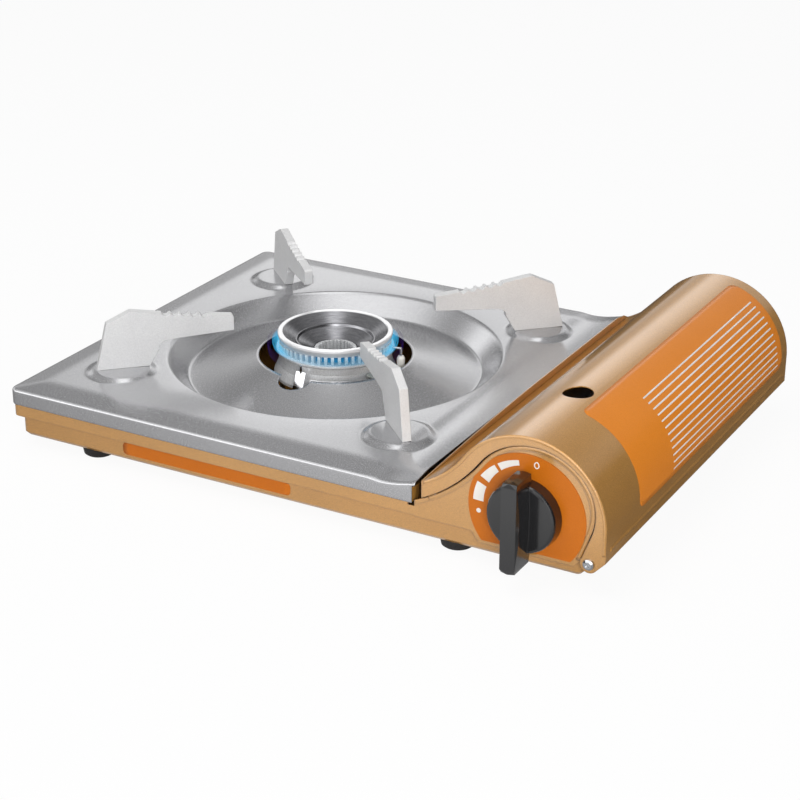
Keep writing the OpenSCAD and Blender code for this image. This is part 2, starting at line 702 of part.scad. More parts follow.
// Burner
module at_burner() { translate([bowl_x, bowl_y, 0]) children(); }
port_top = cap_z - cap_band_h;
port_bottom = port_top - port_h;
port_r = cap_r - 0.9;
body_bottom = tray_floor + 0.5;
body_floor = body_bottom + 2.5;
body_seat_z = -13;
body_neck_r = body_rim_r - 1.7;
module burner_body() {
    boss_len = 31;
    color(bright) stand() at_burner() difference() {
        union() {
            rotate_extrude() polygon([[0, body_bottom], [19, body_bottom], [22, body_bottom + 3],
                [23, body_seat_z], [34, body_seat_z], [body_rim_r + body_flare, body_seat_z + 1.6],
                [body_rim_r + body_flare, -9.6], [body_rim_r + 0.3, -7], [body_neck_r + 0.7, -4.2],
                [body_neck_r + 0.1, -1], [body_neck_r, port_bottom - 2.6],
                [body_rim_r, port_bottom - 1.2], [body_rim_r, port_bottom],
                [body_rim_r - 3.4, port_bottom], [body_rim_r - 3.8, -3], [28, -10], [20, -11],
                [18, -15], [17, body_floor], [0, body_floor]]);
            translate([0, 0, mix_z]) rotate([0, 90, tube_turn + 180])
                translate([0, 0, 14]) cylinder(r = mix_r + 1, h = boss_len - 14);
        }
        translate([0, 0, mix_z]) rotate([0, 90, tube_turn + 180]) translate([0, 0, 10])
            cylinder(r = mix_r + run_gap, h = boss_len);
    }
}
module flame_port_ring() {
    ring_in = port_r - 4;
    color(bright) stand() at_burner() {
        translate([0, 0, port_bottom]) linear_extrude(0.5) difference() {
            circle(r = port_r);
            circle(r = ring_in);
        }
        translate([0, 0, port_bottom + 0.5]) linear_extrude(port_h - 0.5) difference() {
            circle(r = port_r);
            circle(r = ring_in);
            for (i = [0:port_count - 1]) rotate(360 * (i + 0.5) / port_count)
                translate([ring_in - 1, -port_w / 2]) square([8, port_w]);
        }
    }
}
cap_step_r = 22.7;
cap_step_z = cap_z - 5.1;
cap_floor_z = cap_z - 11.2;
module burner_cap() {
    color(bright) stand() at_burner() rotate_extrude() polygon([
        [cap_r - 0.5, cap_z], [cap_r, cap_z - 0.4], [cap_r, cap_z - 1.6], [port_r + 0.2, port_top],
        [port_r - 4.2, port_top], [cap_step_r + 1.8, cap_step_z - 3],
        [inner_ring_r + 0.6, cap_floor_z - 2.4], [inner_ring_r + 0.6, cap_floor_z],
        [cap_step_r - 0.7, cap_step_z - 1.5], [cap_step_r, cap_step_z - 0.1],
        [cap_step_r + 0.9, cap_step_z], [cap_r - 3.2, cap_z - 0.4], [cap_r - 2.8, cap_z]]);
}
inner_ports = 28;
module inner_port_ring() {
    ring_h = 7;
    top_z = cap_floor_z;
    color(bright) stand() at_burner() {
        translate([0, 0, top_z - ring_h]) linear_extrude(ring_h) difference() {
            circle(r = inner_ring_r);
            circle(r = inner_ring_r - 2.4);
            for (i = [0:inner_ports - 1]) rotate(360 * i / inner_ports)
                translate([inner_ring_r - 3.4, -0.5]) square([2.6, 1]);
        }
        difference() {
            translate([0, 0, body_floor]) linear_extrude(top_z - ring_h - body_floor) difference() {
                circle(r = inner_ring_r);
                circle(r = inner_ring_r - 1.2);
            }
            for (a = [0, 90]) rotate([0, 0, a]) translate([-20, -4, body_floor + 3])
                cube([40, 8, 6]);
        }
    }
}
key_w = 6.4;
key_t = 1.2;
key_lean = 4.1;
key_drop = 9;
key_foot = 11;
module burner_key() {
    // bent strip seen from the side: radius outward to the front, and height
    in_r = body_rim_r + 0.6;
    out_r = in_r + key_lean;
    color(bright) stand() at_burner() translate([-1.5, 0, 0]) {
        translate([-key_w / 2, 0, 0]) rotate([90, 0, 90]) linear_extrude(key_w)
            polygon([[-in_r, 0.6], [-out_r, 0.6 - key_drop], [-out_r, tray_floor + key_t],
                [-out_r + key_foot, tray_floor + key_t], [-out_r + key_foot, tray_floor],
                [-out_r - key_t, tray_floor], [-out_r - key_t, 0.9 - key_drop], [-in_r - key_t, 0.9]]);
        translate([0, -body_rim_r - 1.6, -1.2]) cylinder(r = 0.7, h = 6, $fn = 16);
    }
}
module mixing_tube() {
    start = 14;
    bell = 11;
    stop = sqrt(pow(nozzle_x - bowl_x, 2) + pow(nozzle_y - bowl_y, 2)) - 18;
    bell_r = mix_r + 1.2;
    color(zinc) stand() translate([nozzle_x, nozzle_y, mix_z]) rotate([0, 90, tube_turn])
        rotate_extrude() polygon([[bell_r - mix_wall, start], [bell_r, start],
            [bell_r, start + bell], [mix_r, start + bell + 6], [mix_r, stop],
            [mix_r - mix_wall, stop], [mix_r - mix_wall, start + bell + 6],
            [bell_r - mix_wall, start + bell]]);
}
module air_shutter() {
    color(brass) stand() translate([nozzle_x, nozzle_y, mix_z]) rotate([0, 90, tube_turn])
        difference() {
            translate([0, 0, 9]) cylinder(r = mix_r + 0.35, h = 9);
            translate([0, 0, 8]) cylinder(r = mix_r - 0.25, h = 11);
            for (a = [45, 135, 225, 315]) rotate([0, 0, a]) translate([0, -1.6, 10])
                cube([10, 3.2, 3]);
        }
}
bracket_t = 1.2;
lug_w = 10;
lug_r = 32;
lug_hole_r = lug_r + bracket_t + 5;
module at_lugs() {
    for (a = [75, 200]) at_burner() rotate([0, 0, a]) children();
}
// Angle lugs that carry the burner body above the tray's floor
module burner_bracket() {
    color(zinc) stand() at_lugs() difference() {
        union() {
            translate([24, -lug_w / 2, body_seat_z - bracket_t])
                cube([lug_r + bracket_t - 24, lug_w, bracket_t]);
            translate([lug_r, -lug_w / 2, tray_floor])
                cube([bracket_t, lug_w, body_seat_z - tray_floor]);
            translate([lug_r, -lug_w / 2, tray_floor]) cube([lug_w, lug_w, bracket_t]);
        }
        translate([lug_hole_r, 0, tray_floor]) screw_hole();
    }
}
module burner_screws() {
    color(bright) stand() at_lugs() translate([lug_hole_r, 0, tray_floor + bracket_t])
        pan_head_screw(screw_r, bracket_t + base_t, screw_head_r, screw_head_h, $fn = 32);
}
module gas_nozzle() {
    color(brass) stand() translate([nozzle_x, nozzle_y, mix_z]) rotate([0, 90, tube_turn])
        difference() {
            union() {
                cylinder(r = 4, h = 5, $fn = 6);
                translate([0, 0, 5 - eps]) rotate_extrude($fn = 48) polygon([[0, 0], [2.8, 0], [2.8, 4],
                    [1.2, 11], [0, 11]]);
            }
            translate([0, 0, 6]) cylinder(r = 0.5, h = 12, $fn = 24);
        }
}

// Regulator, docking bracket and collar
nose_y0 = 12;
gov_y0 = dock_y - 22;
cover_x = dome_x + governor_r + rest_gap;
module governor_body() {
    color(zinc) stand() difference() {
        union() {
            along_y(dome_x, gov_y0, can_z) cylinder(r = governor_r, h = dock_y - gov_y0);
            along_y(dome_x, gov_y0 - 2, can_z) cylinder(r = governor_r - 4, h = 3);
            along_y(knob_x, nose_y0, knob_z) cylinder(r = 8, h = gov_y0 - nose_y0 + 2);
            along_y(dome_x, dock_y - 1, can_z) cylinder(r = 8, h = 3.4);
            translate([cover_x - 9, dock_y - 11, can_z]) rotate([0, 90, 0])
                cylinder(r = 10, h = 9);
            hull() {
                translate([nozzle_x + 2.8, nozzle_y - 7, mix_z - 5]) cube([10, 12, 10], $fn = 32);
                translate([nozzle_x + 10, nozzle_y - 7, -4]) cube([14, 12, 8], $fn = 32);
            }
            translate([nozzle_x, nozzle_y, mix_z]) rotate([0, 90, tube_turn])
                translate([0, 0, -7]) cylinder(r = 4.6, h = 7);
        }
        along_y(knob_x, nose_y0 - 1, knob_z) cylinder(r = spindle_r + run_gap, h = 19, $fn = 64);
        along_y(dome_x, dock_y - 6, can_z) cylinder(r = 2.2, h = 10, $fn = 32);
    }
}
module diaphragm_cover() {
    color(steel) stand() translate([cover_x, dock_y - 11, can_z]) rotate([0, 90, 0])
        rotate_extrude() polygon([[0, 0], [10.6, 0], [10.6, 2], [9.4, 3.2], [4, 3.6], [3.4, 6.4],
            [0, 6.4]]);
}
governor_screw_y = dock_y - 5.5;
bracket_x0 = dome_x - 31;
bracket_x1 = tray_x1 - base_t - edge_round - rest_gap;
governor_screw_xs = [dome_x - 6, dome_x + 10, dome_x + 22];
module governor_bracket() {
    color(zinc) stand() difference() {
        union() {
            xz_plate(dock_y, bracket_t) intersection() {
                lid_region(4.6, tray_floor, 3);
                translate([bracket_x0, tray_floor]) square([bracket_x1 - bracket_x0, 80]);
            }
            translate([dome_x - 10, dock_y - 10, tray_floor])
                cube([bracket_x1 - dome_x + 10, 10 + eps, bracket_t]);
        }
        along_y(dome_x, dock_y - 1, can_z) cylinder(r = 9, h = 4);
        for (x = governor_screw_xs) translate([x, governor_screw_y, tray_floor]) screw_hole();
    }
}
module governor_screws() {
    color(bright) stand() for (x = governor_screw_xs)
        translate([x, governor_screw_y, tray_floor + bracket_t])
            pan_head_screw(screw_r, bracket_t + base_t, screw_head_r, screw_head_h, $fn = 32);
}
collar_y = dock_y + bracket_t;
ledge = 3.8;
collar_r = 26;
magnet_r = 3.2;
magnet_ring = 21.7;
module cartridge_collar() {
    color(black) stand() difference() {
        along_y(dome_x, collar_y, can_z) difference() {
            rotate_extrude() polygon([[14, 0], [collar_r, 0], [collar_r, ledge + socket_len - 1],
                [collar_r - 1, ledge + socket_len], [socket_r, ledge + socket_len],
                [socket_r, ledge], [14, ledge]]);
            for (a = [45, 135, 225, 315]) rotate([0, 0, a])
                translate([magnet_ring, 0, ledge + socket_len - 1.5])
                    cylinder(r = magnet_r + run_gap, h = 4, $fn = 48);
            rotate([0, 0, -90]) translate([magnet_ring, 0, ledge])
                cylinder(r = 1.6 + run_gap, h = 20, $fn = 32);
        }
    }
}
module inlet_seal() {
    color(rubber) stand() along_y(dome_x, dock_y + 2.4, can_z) rotate_extrude()
        polygon([[2.4, 0], [6, 0], [6, 1.6], [5, 2.4], [2.4, 2.4]]);
}
module collar_magnets() {
    color(steel) stand() along_y(dome_x, collar_y, can_z) for (a = [45, 135, 225, 315])
        rotate([0, 0, a]) translate([magnet_ring, 0, ledge + socket_len - 1.5])
            cylinder(r = magnet_r, h = 1.5, $fn = 48);
}
module guide_pin() {
    color(bright) stand() along_y(dome_x, collar_y, can_z) rotate([0, 0, -90])
        translate([magnet_ring, 0, ledge]) cylinder(r = 1.6, h = socket_len + 4, $fn = 32);
}

// Knob, spindle and spiral cam: the cam's radius grows by plunger_stroke over knob_turn
cam_r0 = 12;
cam_gap = 0.35;
cam_y = 6;
cam_t = 4;
cam_spare = 20;
nose_r = 1;
module at_knob(y) { along_y(knob_x, y, knob_z) children(); }
module valve_spindle() {
    color(brass) stand() difference() {
        at_knob(-5) cylinder(r = spindle_r, h = nose_y0 + 5 + 17, $fn = 64);
        translate([knob_x - 5, -6, knob_z + spindle_r - 0.8]) cube([10, 9, 3]);
    }
}
// Seen from the front, the follower touches the cam at its left. Angles run from there.
function cam_point(a, r) = [knob_x - r * cos(a), knob_z + r * sin(a)];
module spindle_cam() {
    k = plunger_stroke / knob_turn;
    color(black) stand() xz_plate(cam_y, cam_t) difference() {
        polygon(concat(
            [for (i = [0:26]) let(a = -cam_spare + (knob_turn + cam_spare) * i / 26)
                cam_point(a, cam_r0 + k * max(a, 0))],
            [cam_point(knob_turn + 4, cam_r0 + plunger_stroke),
             cam_point(knob_turn + 10, 9)],
            [for (i = [0:16]) let(a = knob_turn + 14 + (360 - cam_spare - knob_turn - 18) * i / 16)
                cam_point(a, 9)]));
        translate([knob_x, knob_z]) circle(r = spindle_r + 0.02, $fn = 64);
    }
}
disc_back = panel_y - 0.4 - rest_gap;
disc_front = -7;
module knob() {
    depth = disc_back - disc_front;
    color(black) stand() difference() {
        union() {
            at_knob(disc_front) rotate_extrude() polygon([[0, 0], [knob_r - 2.4, 0],
                [knob_r - 1.2, 0.4], [knob_r - 0.7, 1.4], [knob_r, depth], [0, depth]]);
            hull() {
                for (s = [-1, 1]) translate([knob_x, 0, knob_z + s * (grip_len / 2 - 3)])
                    rotate([90, 0, 0]) translate([0, 0, 3]) cylinder(r = grip_w / 2 - 0.4,
                        h = grip_front - 3.6, $fn = 32);
                for (s = [-1, 1]) translate([knob_x - grip_w / 2,
                    -grip_front + 1.2, knob_z + s * (grip_len / 2 - 0.8) - 0.8])
                    cube([grip_w, grip_front - 4.6, 1.6]);
                translate([knob_x - grip_w / 2 - 1.2, -grip_front + 2.4, knob_z - 7])
                    cube([grip_w + 2.4, grip_front - 5, 14]);
                translate([knob_x - grip_w / 2 - 0.4, -grip_front, knob_z - grip_len / 2 + 2])
                    cube([grip_w + 0.8, 1, grip_len - 4]);
            }
        }
        difference() {
            at_knob(-5.2) cylinder(r = spindle_r + 0.02, h = 20, $fn = 64);
            translate([knob_x - 5, -8, knob_z + spindle_r - 0.8 + 0.02]) cube([10, 11, 3]);
        }
    }
}
dial_t = 0.4;
module dial_plate() {
    color(orange) stand() xz_plate(panel_y - dial_t, dial_t) difference() {
        intersection() {
            translate([knob_x, knob_z]) circle(r = dial_r, $fn = 144);
            translate([knob_x - dial_r, -pad_cut + 1]) square([2 * dial_r, 80]);
        }
        translate([knob_x, knob_z]) circle(r = spindle_r + 2.5);
    }
}
piezo_y = cam_y + cam_t / 2;
plunger_tip_x = knob_x - cam_r0 - cam_gap;
plunger_r = 2.5;
piezo_x1 = plunger_tip_x - plunger_stroke - 4;
piezo_x0 = lid_x0 + 2.5;
module igniter_body() {
    color(black) stand() difference() {
        union() {
            translate([piezo_x0, piezo_y - 4.6, knob_z - 4.6])
                cube([piezo_x1 - piezo_x0 - 6, 9.2, 9.2]);
            translate([piezo_x1 - 7, piezo_y, knob_z]) rotate([0, 90, 0]) cylinder(r = 4, h = 7);
            // post on the tray's floor, behind the rounded edge of its front wall
            translate([piezo_x1 - 16, tray_y0 + base_t + edge_round + rest_gap, tray_floor])
                cube([3, 5, -tray_floor]);
        }
        translate([piezo_x1 - 20, piezo_y, knob_z]) rotate([0, 90, 0])
            cylinder(r = plunger_r + run_gap, h = 30, $fn = 64);
    }
}
module igniter_plunger() {
    color(bright) stand() {
        translate([piezo_x1 - 12, piezo_y, knob_z]) rotate([0, 90, 0])
            cylinder(r = plunger_r, h = plunger_tip_x - 1.2 - piezo_x1 + 12, $fn = 64);
        intersection() {
            translate([plunger_tip_x - nose_r, piezo_y - 1.5, knob_z]) rotate([-90, 0, 0])
                cylinder(r = nose_r, h = 3, $fn = 32);
            translate([plunger_tip_x - 2, piezo_y - 2, knob_z - 2]) cube([4, 4, 4]);
        }
    }
}

// Spark electrode
spark_angle = 13;
spark_gap = 1.3;
insulator_r = 2.4;
spark_r = body_rim_r + body_flare + insulator_r + spark_gap;
module at_spark() {
    at_burner() rotate([0, 0, spark_angle]) translate([spark_r, 0, 0]) children();
}
insulator_z0 = -17;
module electrode_insulator() {
    color(ceramic) stand() at_spark() difference() {
        rotate_extrude($fn = 48) polygon([[0, insulator_z0], [insulator_r - 0.5, insulator_z0],
            [insulator_r - 0.5, -12], [insulator_r, -11], [insulator_r, 1.4],
            [insulator_r - 0.8, 2.8], [0, 3]]);
        translate([0, 0, insulator_z0 - 1]) cylinder(r = 0.75, h = 30, $fn = 24);
    }
}
module spark_electrode() {
    color(bright) stand() at_spark() {
        translate([0, 0, insulator_z0 - 1]) cylinder(r = 0.7, h = 23.6 + 1.6, $fn = 24);
        translate([0, 0, 7.4]) sphere(r = 0.7, $fn = 24);
        translate([-5, 0, 7.4]) rotate([0, 90, 0]) cylinder(r = 0.7, h = 5, $fn = 24);
    }
}
module electrode_bracket() {
    color(bright) stand() at_spark() difference() {
        union() {
            translate([-3.6, -3.6, -9.6]) cube([9, 7.2, 1.2]);
            translate([4.2, -3.6, tray_floor]) cube([1.2, 7.2, -tray_floor - 8.4]);
            translate([4.2, -3.6, tray_floor]) cube([8, 7.2, 1.2]);
        }
        translate([0, 0, -12]) cylinder(r = insulator_r + run_gap, h = 8, $fn = 48);
    }
}

// Ignition lead: chosen points along its route, clipped under the plate
lead_r = 1.2;
lead_end = [bowl_x + spark_r * cos(spark_angle), bowl_y + spark_r * sin(spark_angle)];
lead_turn_x = lead_end[0] + 5;
function lead_mid(share, y) = [wall_x - share * (wall_x - lead_turn_x), y, -26];
lead_points = [
    [piezo_x0 - 0.1, piezo_y, -1],
    [piezo_x0 - 1.5, piezo_y + 0.1, -1],
    [piezo_x0 - 2.3, piezo_y + 2.4, -1.4],
    [piezo_x0 - 1.9, piezo_y + 6, -2.6],
    [piezo_x0 + 0.4, 24, -6],
    [piezo_x0 + 1, 36, -8.4],
    [piezo_x0 + 1, 50, -10],
    [piezo_x0 + 0.5, 62, -12],
    [piezo_x0 - 0.5, 76, -19],
    [piezo_x0 - 1, 86, -24],
    [wall_x + 1, 94, -25.6],
    lead_mid(0.12, 100),
    lead_mid(0.35, 109),
    lead_mid(0.63, 120),
    lead_mid(0.84, 132),
    [lead_turn_x, lead_end[1] - 8, -25.6],
    [lead_end[0] + 1, lead_end[1] - 2.6, -24.4],
    [lead_end[0], lead_end[1], insulator_z0 - 4.2],
    [lead_end[0], lead_end[1], insulator_z0 - 2.6],
    [lead_end[0], lead_end[1], insulator_z0 - 1]];
function unit(v) = v / norm(v);
function spline(p, i, t) =
    let(n = len(p) - 1, a = p[max(i - 1, 0)], b = p[i], c = p[min(i + 1, n)], d = p[min(i + 2, n)])
    0.5 * (2 * b + (c - a) * t + (2 * a - 5 * b + 4 * c - d) * t * t
        + (3 * b - 3 * c + d - a) * t * t * t);
lead_parts = 4;
lead_path = [for (i = [0:len(lead_points) - 2], k = [0:lead_parts - 1])
    spline(lead_points, i, k / lead_parts), lead_points[len(lead_points) - 1]];
module swept_tube(path, r, sides) {
    n = len(path);
    tangents = [for (i = [0:n - 1]) unit(path[min(i + 1, n - 1)] - path[max(i - 1, 0)])];
    ref = [0.31, 0.2, 0.93];
    rings = [for (i = [0:n - 1]) let(t = tangents[i], a = unit(cross(ref, t)), b = cross(t, a))
        for (s = [0:sides - 1]) path[i] + r * (a * cos(360 * s / sides) + b * sin(360 * s / sides))];
    skin = [for (i = [0:n - 2], s = [0:sides - 1])
        let(p = i * sides + s, q = i * sides + (s + 1) % sides)
        each [[p, q + sides, q], [p, p + sides, q + sides]]];
    start = [for (s = [0:sides - 1]) s];
    finish = [for (s = [sides - 1:-1:0]) (n - 1) * sides + s];
    polyhedron(rings, concat(skin, [start, finish]), convexity = 8);
}
module ignition_lead() {
    color(rubber) stand() swept_tube(lead_path, lead_r, 8);
}

// Feet and their screws
foot_places = [for (x = [tray_x0 + foot_left, tray_x1 - foot_right],
    y = [foot_edge_y, plate_d - foot_edge_y]) [x, y]];
module rubber_foot(p) {
    color(rubber) stand() translate([p[0], p[1], floor_z]) difference() {
        rotate_extrude($fn = 64) polygon([[0, 0], [foot_r - 1.6, 0], [foot_r - 0.6, 0.8],
            [foot_r, foot_h - 1.4], [foot_r, foot_h], [0, foot_h]]);
        translate([0, 0, 1.6]) cylinder(r = screw_r + 0.05, h = foot_h, $fn = 32);
    }
}
module foot_front_left() { rubber_foot(foot_places[0]); }
module foot_back_left() { rubber_foot(foot_places[1]); }
module foot_front_right() { rubber_foot(foot_places[2]); }
module foot_back_right() { rubber_foot(foot_places[3]); }
module foot_screws() {
    color(bright) stand() for (p = foot_places) translate([p[0], p[1], tray_floor])
        pan_head_screw(screw_r, base_t + foot_h - 2, screw_head_r, screw_head_h, $fn = 32);
}
module panel_screws() {
    color(bright) stand() for (x = panel_screw_xs)
        translate([x, panel_screw_y, tray_floor + base_t])
            pan_head_screw(screw_r, 2 * base_t, screw_head_r, screw_head_h, $fn = 32);
}

// Hinge screws: cross-head outside the lid's lobe, held in the panel's ear
module hinge_screw() {
    head_h = 1.7;
    reach = lid_front + panel_y + base_t + 3;
    difference() {
        rotate_extrude($fn = 48) polygon([[0, -head_h], [1.9, -head_h], [2.9, -head_h * 0.6],
            [3.2, 0], [hinge_pin_r, 0], [hinge_pin_r, reach], [0, reach]]);
        for (a = [45, 135]) rotate([0, 0, a]) translate([-1.6, -0.3, -head_h - 1])
            cube([3.2, 0.6, 1.8]);
    }
}
nut_h = 2;
nut_r = 3.6;
// Room for the nut and for the screw's end behind it
nut_room = nut_h + 1.5 + rest_gap;
module hinge_screws() {
    color(bright) stand() {
        translate([hinge_x, lid_y0 - 0.1, hinge_z]) rotate([-90, 0, 0]) hinge_screw();
        translate([hinge_x, lid_y1 + 0.1, hinge_z]) rotate([90, 0, 0]) hinge_screw();
    }
}
module washer(y, t) {
    along_y(hinge_x, y, hinge_z) difference() {
        cylinder(r = nut_r, h = t, $fn = 48);
        translate([0, 0, -1]) cylinder(r = hinge_pin_r + 0.1, h = t + 2, $fn = 48);
    }
}
module hinge_washers() {
    color(zinc) stand() {
        washer(lid_y0 + lid_t + 0.1, panel_y - lid_y0 - lid_t - 0.1);
        washer(rear_y + base_t, lid_y1 - lid_t - 0.1 - rear_y - base_t);
        washer(panel_y + base_t, nut_h);
        washer(rear_y - nut_h, nut_h);
    }
}
// Bent leaf on the partition: its nose stands just above the catch's bump
module catch_spring() {
    x = wall_x + base_t;
    nose_x = catch_leg_x + 0.2 - catch_bump_r - rest_gap;
    nose_z = catch_z + 2.2;
    color(bright) stand() xz_plate(catch_y - 5, 10) polygon([[x, -14], [x + 0.5, -14],
        [x + 0.5, nose_z - 4.5], [nose_x, nose_z - 0.4], [nose_x, nose_z + 0.4],
        [x + 0.6, 0], [x + 0.2, -0.2], [nose_x - 0.6, nose_z], [x, nose_z - 4.2]]);
}

base_tray();
rear_panel();
partition_wall();
cartridge_cradle();
heat_conductor();
burner_body();
flame_port_ring();
burner_cap();
inner_port_ring();
burner_key();
mixing_tube();
air_shutter();
burner_bracket();
burner_screws();
gas_nozzle();
governor_body();
diaphragm_cover();
governor_bracket();
governor_screws();
cartridge_collar();
inlet_seal();
collar_magnets();
guide_pin();
igniter_body();
igniter_plunger();
ignition_lead();
electrode_insulator();
spark_electrode();
electrode_bracket();
dial_plate();
foot_front_left();
foot_front_right();
foot_back_left();
foot_back_right();
foot_screws();
panel_screws();
hinge_screws();
hinge_washers();
catch_spring();
cartridge_lid();
lid_catch();
top_plate();
pot_support_front_left();
pot_support_front_right();
pot_support_back_left();
pot_support_back_right();
knob();
valve_spindle();
spindle_cam();
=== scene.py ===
import math

import bmesh
import bpy
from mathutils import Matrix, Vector


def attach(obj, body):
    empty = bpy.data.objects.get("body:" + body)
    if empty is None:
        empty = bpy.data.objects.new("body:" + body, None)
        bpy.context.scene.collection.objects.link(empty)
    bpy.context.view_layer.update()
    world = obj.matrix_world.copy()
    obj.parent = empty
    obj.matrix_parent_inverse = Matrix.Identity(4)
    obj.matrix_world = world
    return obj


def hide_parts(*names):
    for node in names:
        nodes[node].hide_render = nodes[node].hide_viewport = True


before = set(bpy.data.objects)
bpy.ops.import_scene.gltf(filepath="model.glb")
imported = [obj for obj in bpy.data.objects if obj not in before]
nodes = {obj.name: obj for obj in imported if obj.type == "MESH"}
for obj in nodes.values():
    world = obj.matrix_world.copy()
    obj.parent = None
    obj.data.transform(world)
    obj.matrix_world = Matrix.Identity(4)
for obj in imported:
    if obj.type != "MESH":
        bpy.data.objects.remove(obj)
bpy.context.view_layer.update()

MM = 0.001
# Plate frame of the construction, in millimetres: the row frame's origin lies here
ORIGIN = (186.0, 125.75, -35.0)

# Driving sizes, in millimetres, as in the construction
PLATE_W = 264.0
PLATE_D = 272.0
PLATE_T = 0.6
PLATE_CORNER_R = 5.5
SKIRT_H = 9.2
BORDER_W = 15.5
BORDER_RISE = 2.0
GUTTER_W = 29.0
GUTTER_DEPTH = 0.7
GUTTER_LIP = 2.7
BOWL_X = 135.6
BOWL_Y = 137.4
BOWL_R = 100.3
BOWL_FLOOR_R = 87.6
BOWL_FLOOR_Z = -10.4
HOLE_R = 45.6
HOLE_RISE = 10.7
NOTCH_R = 10.0
BOSS_DX = 92.0
BOSS_DY = 88.0
BOSS_R = 20.0
BOSS_TOP_R = 16.0
BOSS_H = 2.2
LID_X0 = 268.4
LID_X1 = 371.5
LID_R = 43.4
LID_EDGE_Z = 5.1
LID_FRONT_Y = -0.8
DOME_X = LID_X1 - LID_R
OPEN_R = 36.6
OPEN_X1 = 365.2
HINGE_X = 362.7
PANEL_Y = 0.95
KNOB_X = 327.3
KNOB_Z = 0.6
DIAL_Y = 0.55
BAND_Y = 4.4
PORT_R = 33.3
PORT_BOTTOM = 5.3
PORT_TOP = 10.5
# Burner cap: heights above the floor, or distances from its axis, between which the painted highlight on
# its rim fades in
CAP_RIM_HIGHLIGHT_Z = (49.4, 49.9)
CAP_RIM_HIGHLIGHT_R = (32.2, 32.6)
# A point inside the lid's dome, from which the lid's sheets face away
DOME_INSIDE = (DOME_X, 140, 0)


def row(x, y, z):
    return Vector(((x - ORIGIN[0]) * MM, (y - ORIGIN[1]) * MM, (z - ORIGIN[2]) * MM))


# Camera: the photograph's angle, worked out from the plate's corners and the supports
AZIMUTH = math.radians(28.93)
ELEVATION = math.radians(23.58)
ROLL = math.radians(0.156)
DISTANCE = 1.1837
TARGET = row(183.42, 130.28, -17.73)
FOCAL_PX = 2022.0
IMAGE_PX = 800.0
SENSOR_MM = 36.0
CLIP_M = (0.05, 50.0)


def add_camera():
    cam = bpy.data.cameras.new("camera")
    cam.sensor_width = SENSOR_MM
    cam.lens = FOCAL_PX / IMAGE_PX * SENSOR_MM
    cam.clip_start, cam.clip_end = CLIP_M
    obj = bpy.data.objects.new("camera", cam)
    back = Vector((math.sin(AZIMUTH) * math.cos(ELEVATION), -math.cos(AZIMUTH) * math.cos(ELEVATION),
                   math.sin(ELEVATION)))
    right = Vector((0, 0, 1)).cross(back).normalized()
    up = back.cross(right)
    rolled_right = right * math.cos(ROLL) + up * math.sin(ROLL)
    rolled_up = up * math.cos(ROLL) - right * math.sin(ROLL)
    place = TARGET + back * DISTANCE
    matrix = obj.matrix_world.copy()
    for i in range(3):
        matrix[i][0] = rolled_right[i]
        matrix[i][1] = rolled_up[i]
        matrix[i][2] = back[i]
        matrix[i][3] = place[i]
    obj.matrix_world = matrix
    bpy.context.scene.collection.objects.link(obj)
    bpy.context.scene.camera = obj


def linear(r, g, b):
    """Linear colour from the 0 to 255 values that a screen shows."""
    def one(c):
        c = c / 255.0
        return c / 12.92 if c <= 0.04045 else ((c + 0.055) / 1.055) ** 2.4
    return (one(r), one(g), one(b), 1.0)


# Node helpers
WHITE = (1, 1, 1, 1)


def new_material(name):
    mat = bpy.data.materials.new(name)
    mat.use_nodes = True
    tree = mat.node_tree
    tree.nodes.clear()
    return mat, tree


def link(tree, a, b):
    tree.links.new(a, b)


def node(tree, kind, **settings):
    made = tree.nodes.new(kind)
    for key, value in settings.items():
        setattr(made, key, value)
    return made


def coordinates(tree, stretch=(1, 1, 1)):
    tex = node(tree, "ShaderNodeTexCoord")
    mapping = node(tree, "ShaderNodeMapping")
    mapping.inputs["Scale"].default_value = stretch
    link(tree, tex.outputs["Object"], mapping.inputs["Vector"])
    return mapping.outputs["Vector"]


def noise(tree, vector, scale, detail=3.0, rough=0.5):
    tex = node(tree, "ShaderNodeTexNoise")
    tex.inputs["Scale"].default_value = scale
    tex.inputs["Detail"].default_value = detail
    tex.inputs["Roughness"].default_value = rough
    link(tree, vector, tex.inputs["Vector"])
    return tex.outputs["Fac"]


def remap(tree, value, low, high, from_low=0.3, from_high=0.7):
    ranged = node(tree, "ShaderNodeMapRange")
    ranged.inputs["From Min"].default_value = from_low
    ranged.inputs["From Max"].default_value = from_high
    ranged.inputs["To Min"].default_value = low
    ranged.inputs["To Max"].default_value = high
    link(tree, value, ranged.inputs["Value"])
    return ranged.outputs["Result"]


def feed(tree, value, socket):
    """Links a socket to another node's output, or sets it to a plain value."""
    if isinstance(value, bpy.types.NodeSocket):
        link(tree, value, socket)
    else:
        socket.default_value = value


def mix_colour(tree, factor, a, b):
    mixed = node(tree, "ShaderNodeMix", data_type="RGBA")
    for socket, value in ((0, factor), (6, a), (7, b)):
        feed(tree, value, mixed.inputs[socket])
    return mixed.outputs[2]


def mix_value(tree, factor, a, b):
    mixed = node(tree, "ShaderNodeMix", data_type="FLOAT")
    for socket, value in ((0, factor), (2, a), (3, b)):
        feed(tree, value, mixed.inputs[socket])
    return mixed.outputs[0]


def mix_shaders(tree, factor, a, b):
    mixed = node(tree, "ShaderNodeMixShader")
    for socket, value in enumerate((factor, a, b)):
        feed(tree, value, mixed.inputs[socket])
    return mixed.outputs["Shader"]


def calculate(tree, operation, *values):
    made = node(tree, "ShaderNodeMath", operation=operation)
    for socket, value in enumerate(values):
        feed(tree, value, made.inputs[socket])
    return made.outputs["Value"]


def glow(tree, colour, strength, kind="Emission"):
    made = node(tree, "ShaderNode" + kind)
    made.inputs["Color"].default_value = colour
    feed(tree, strength, made.inputs["Strength"])
    return made.outputs[kind]


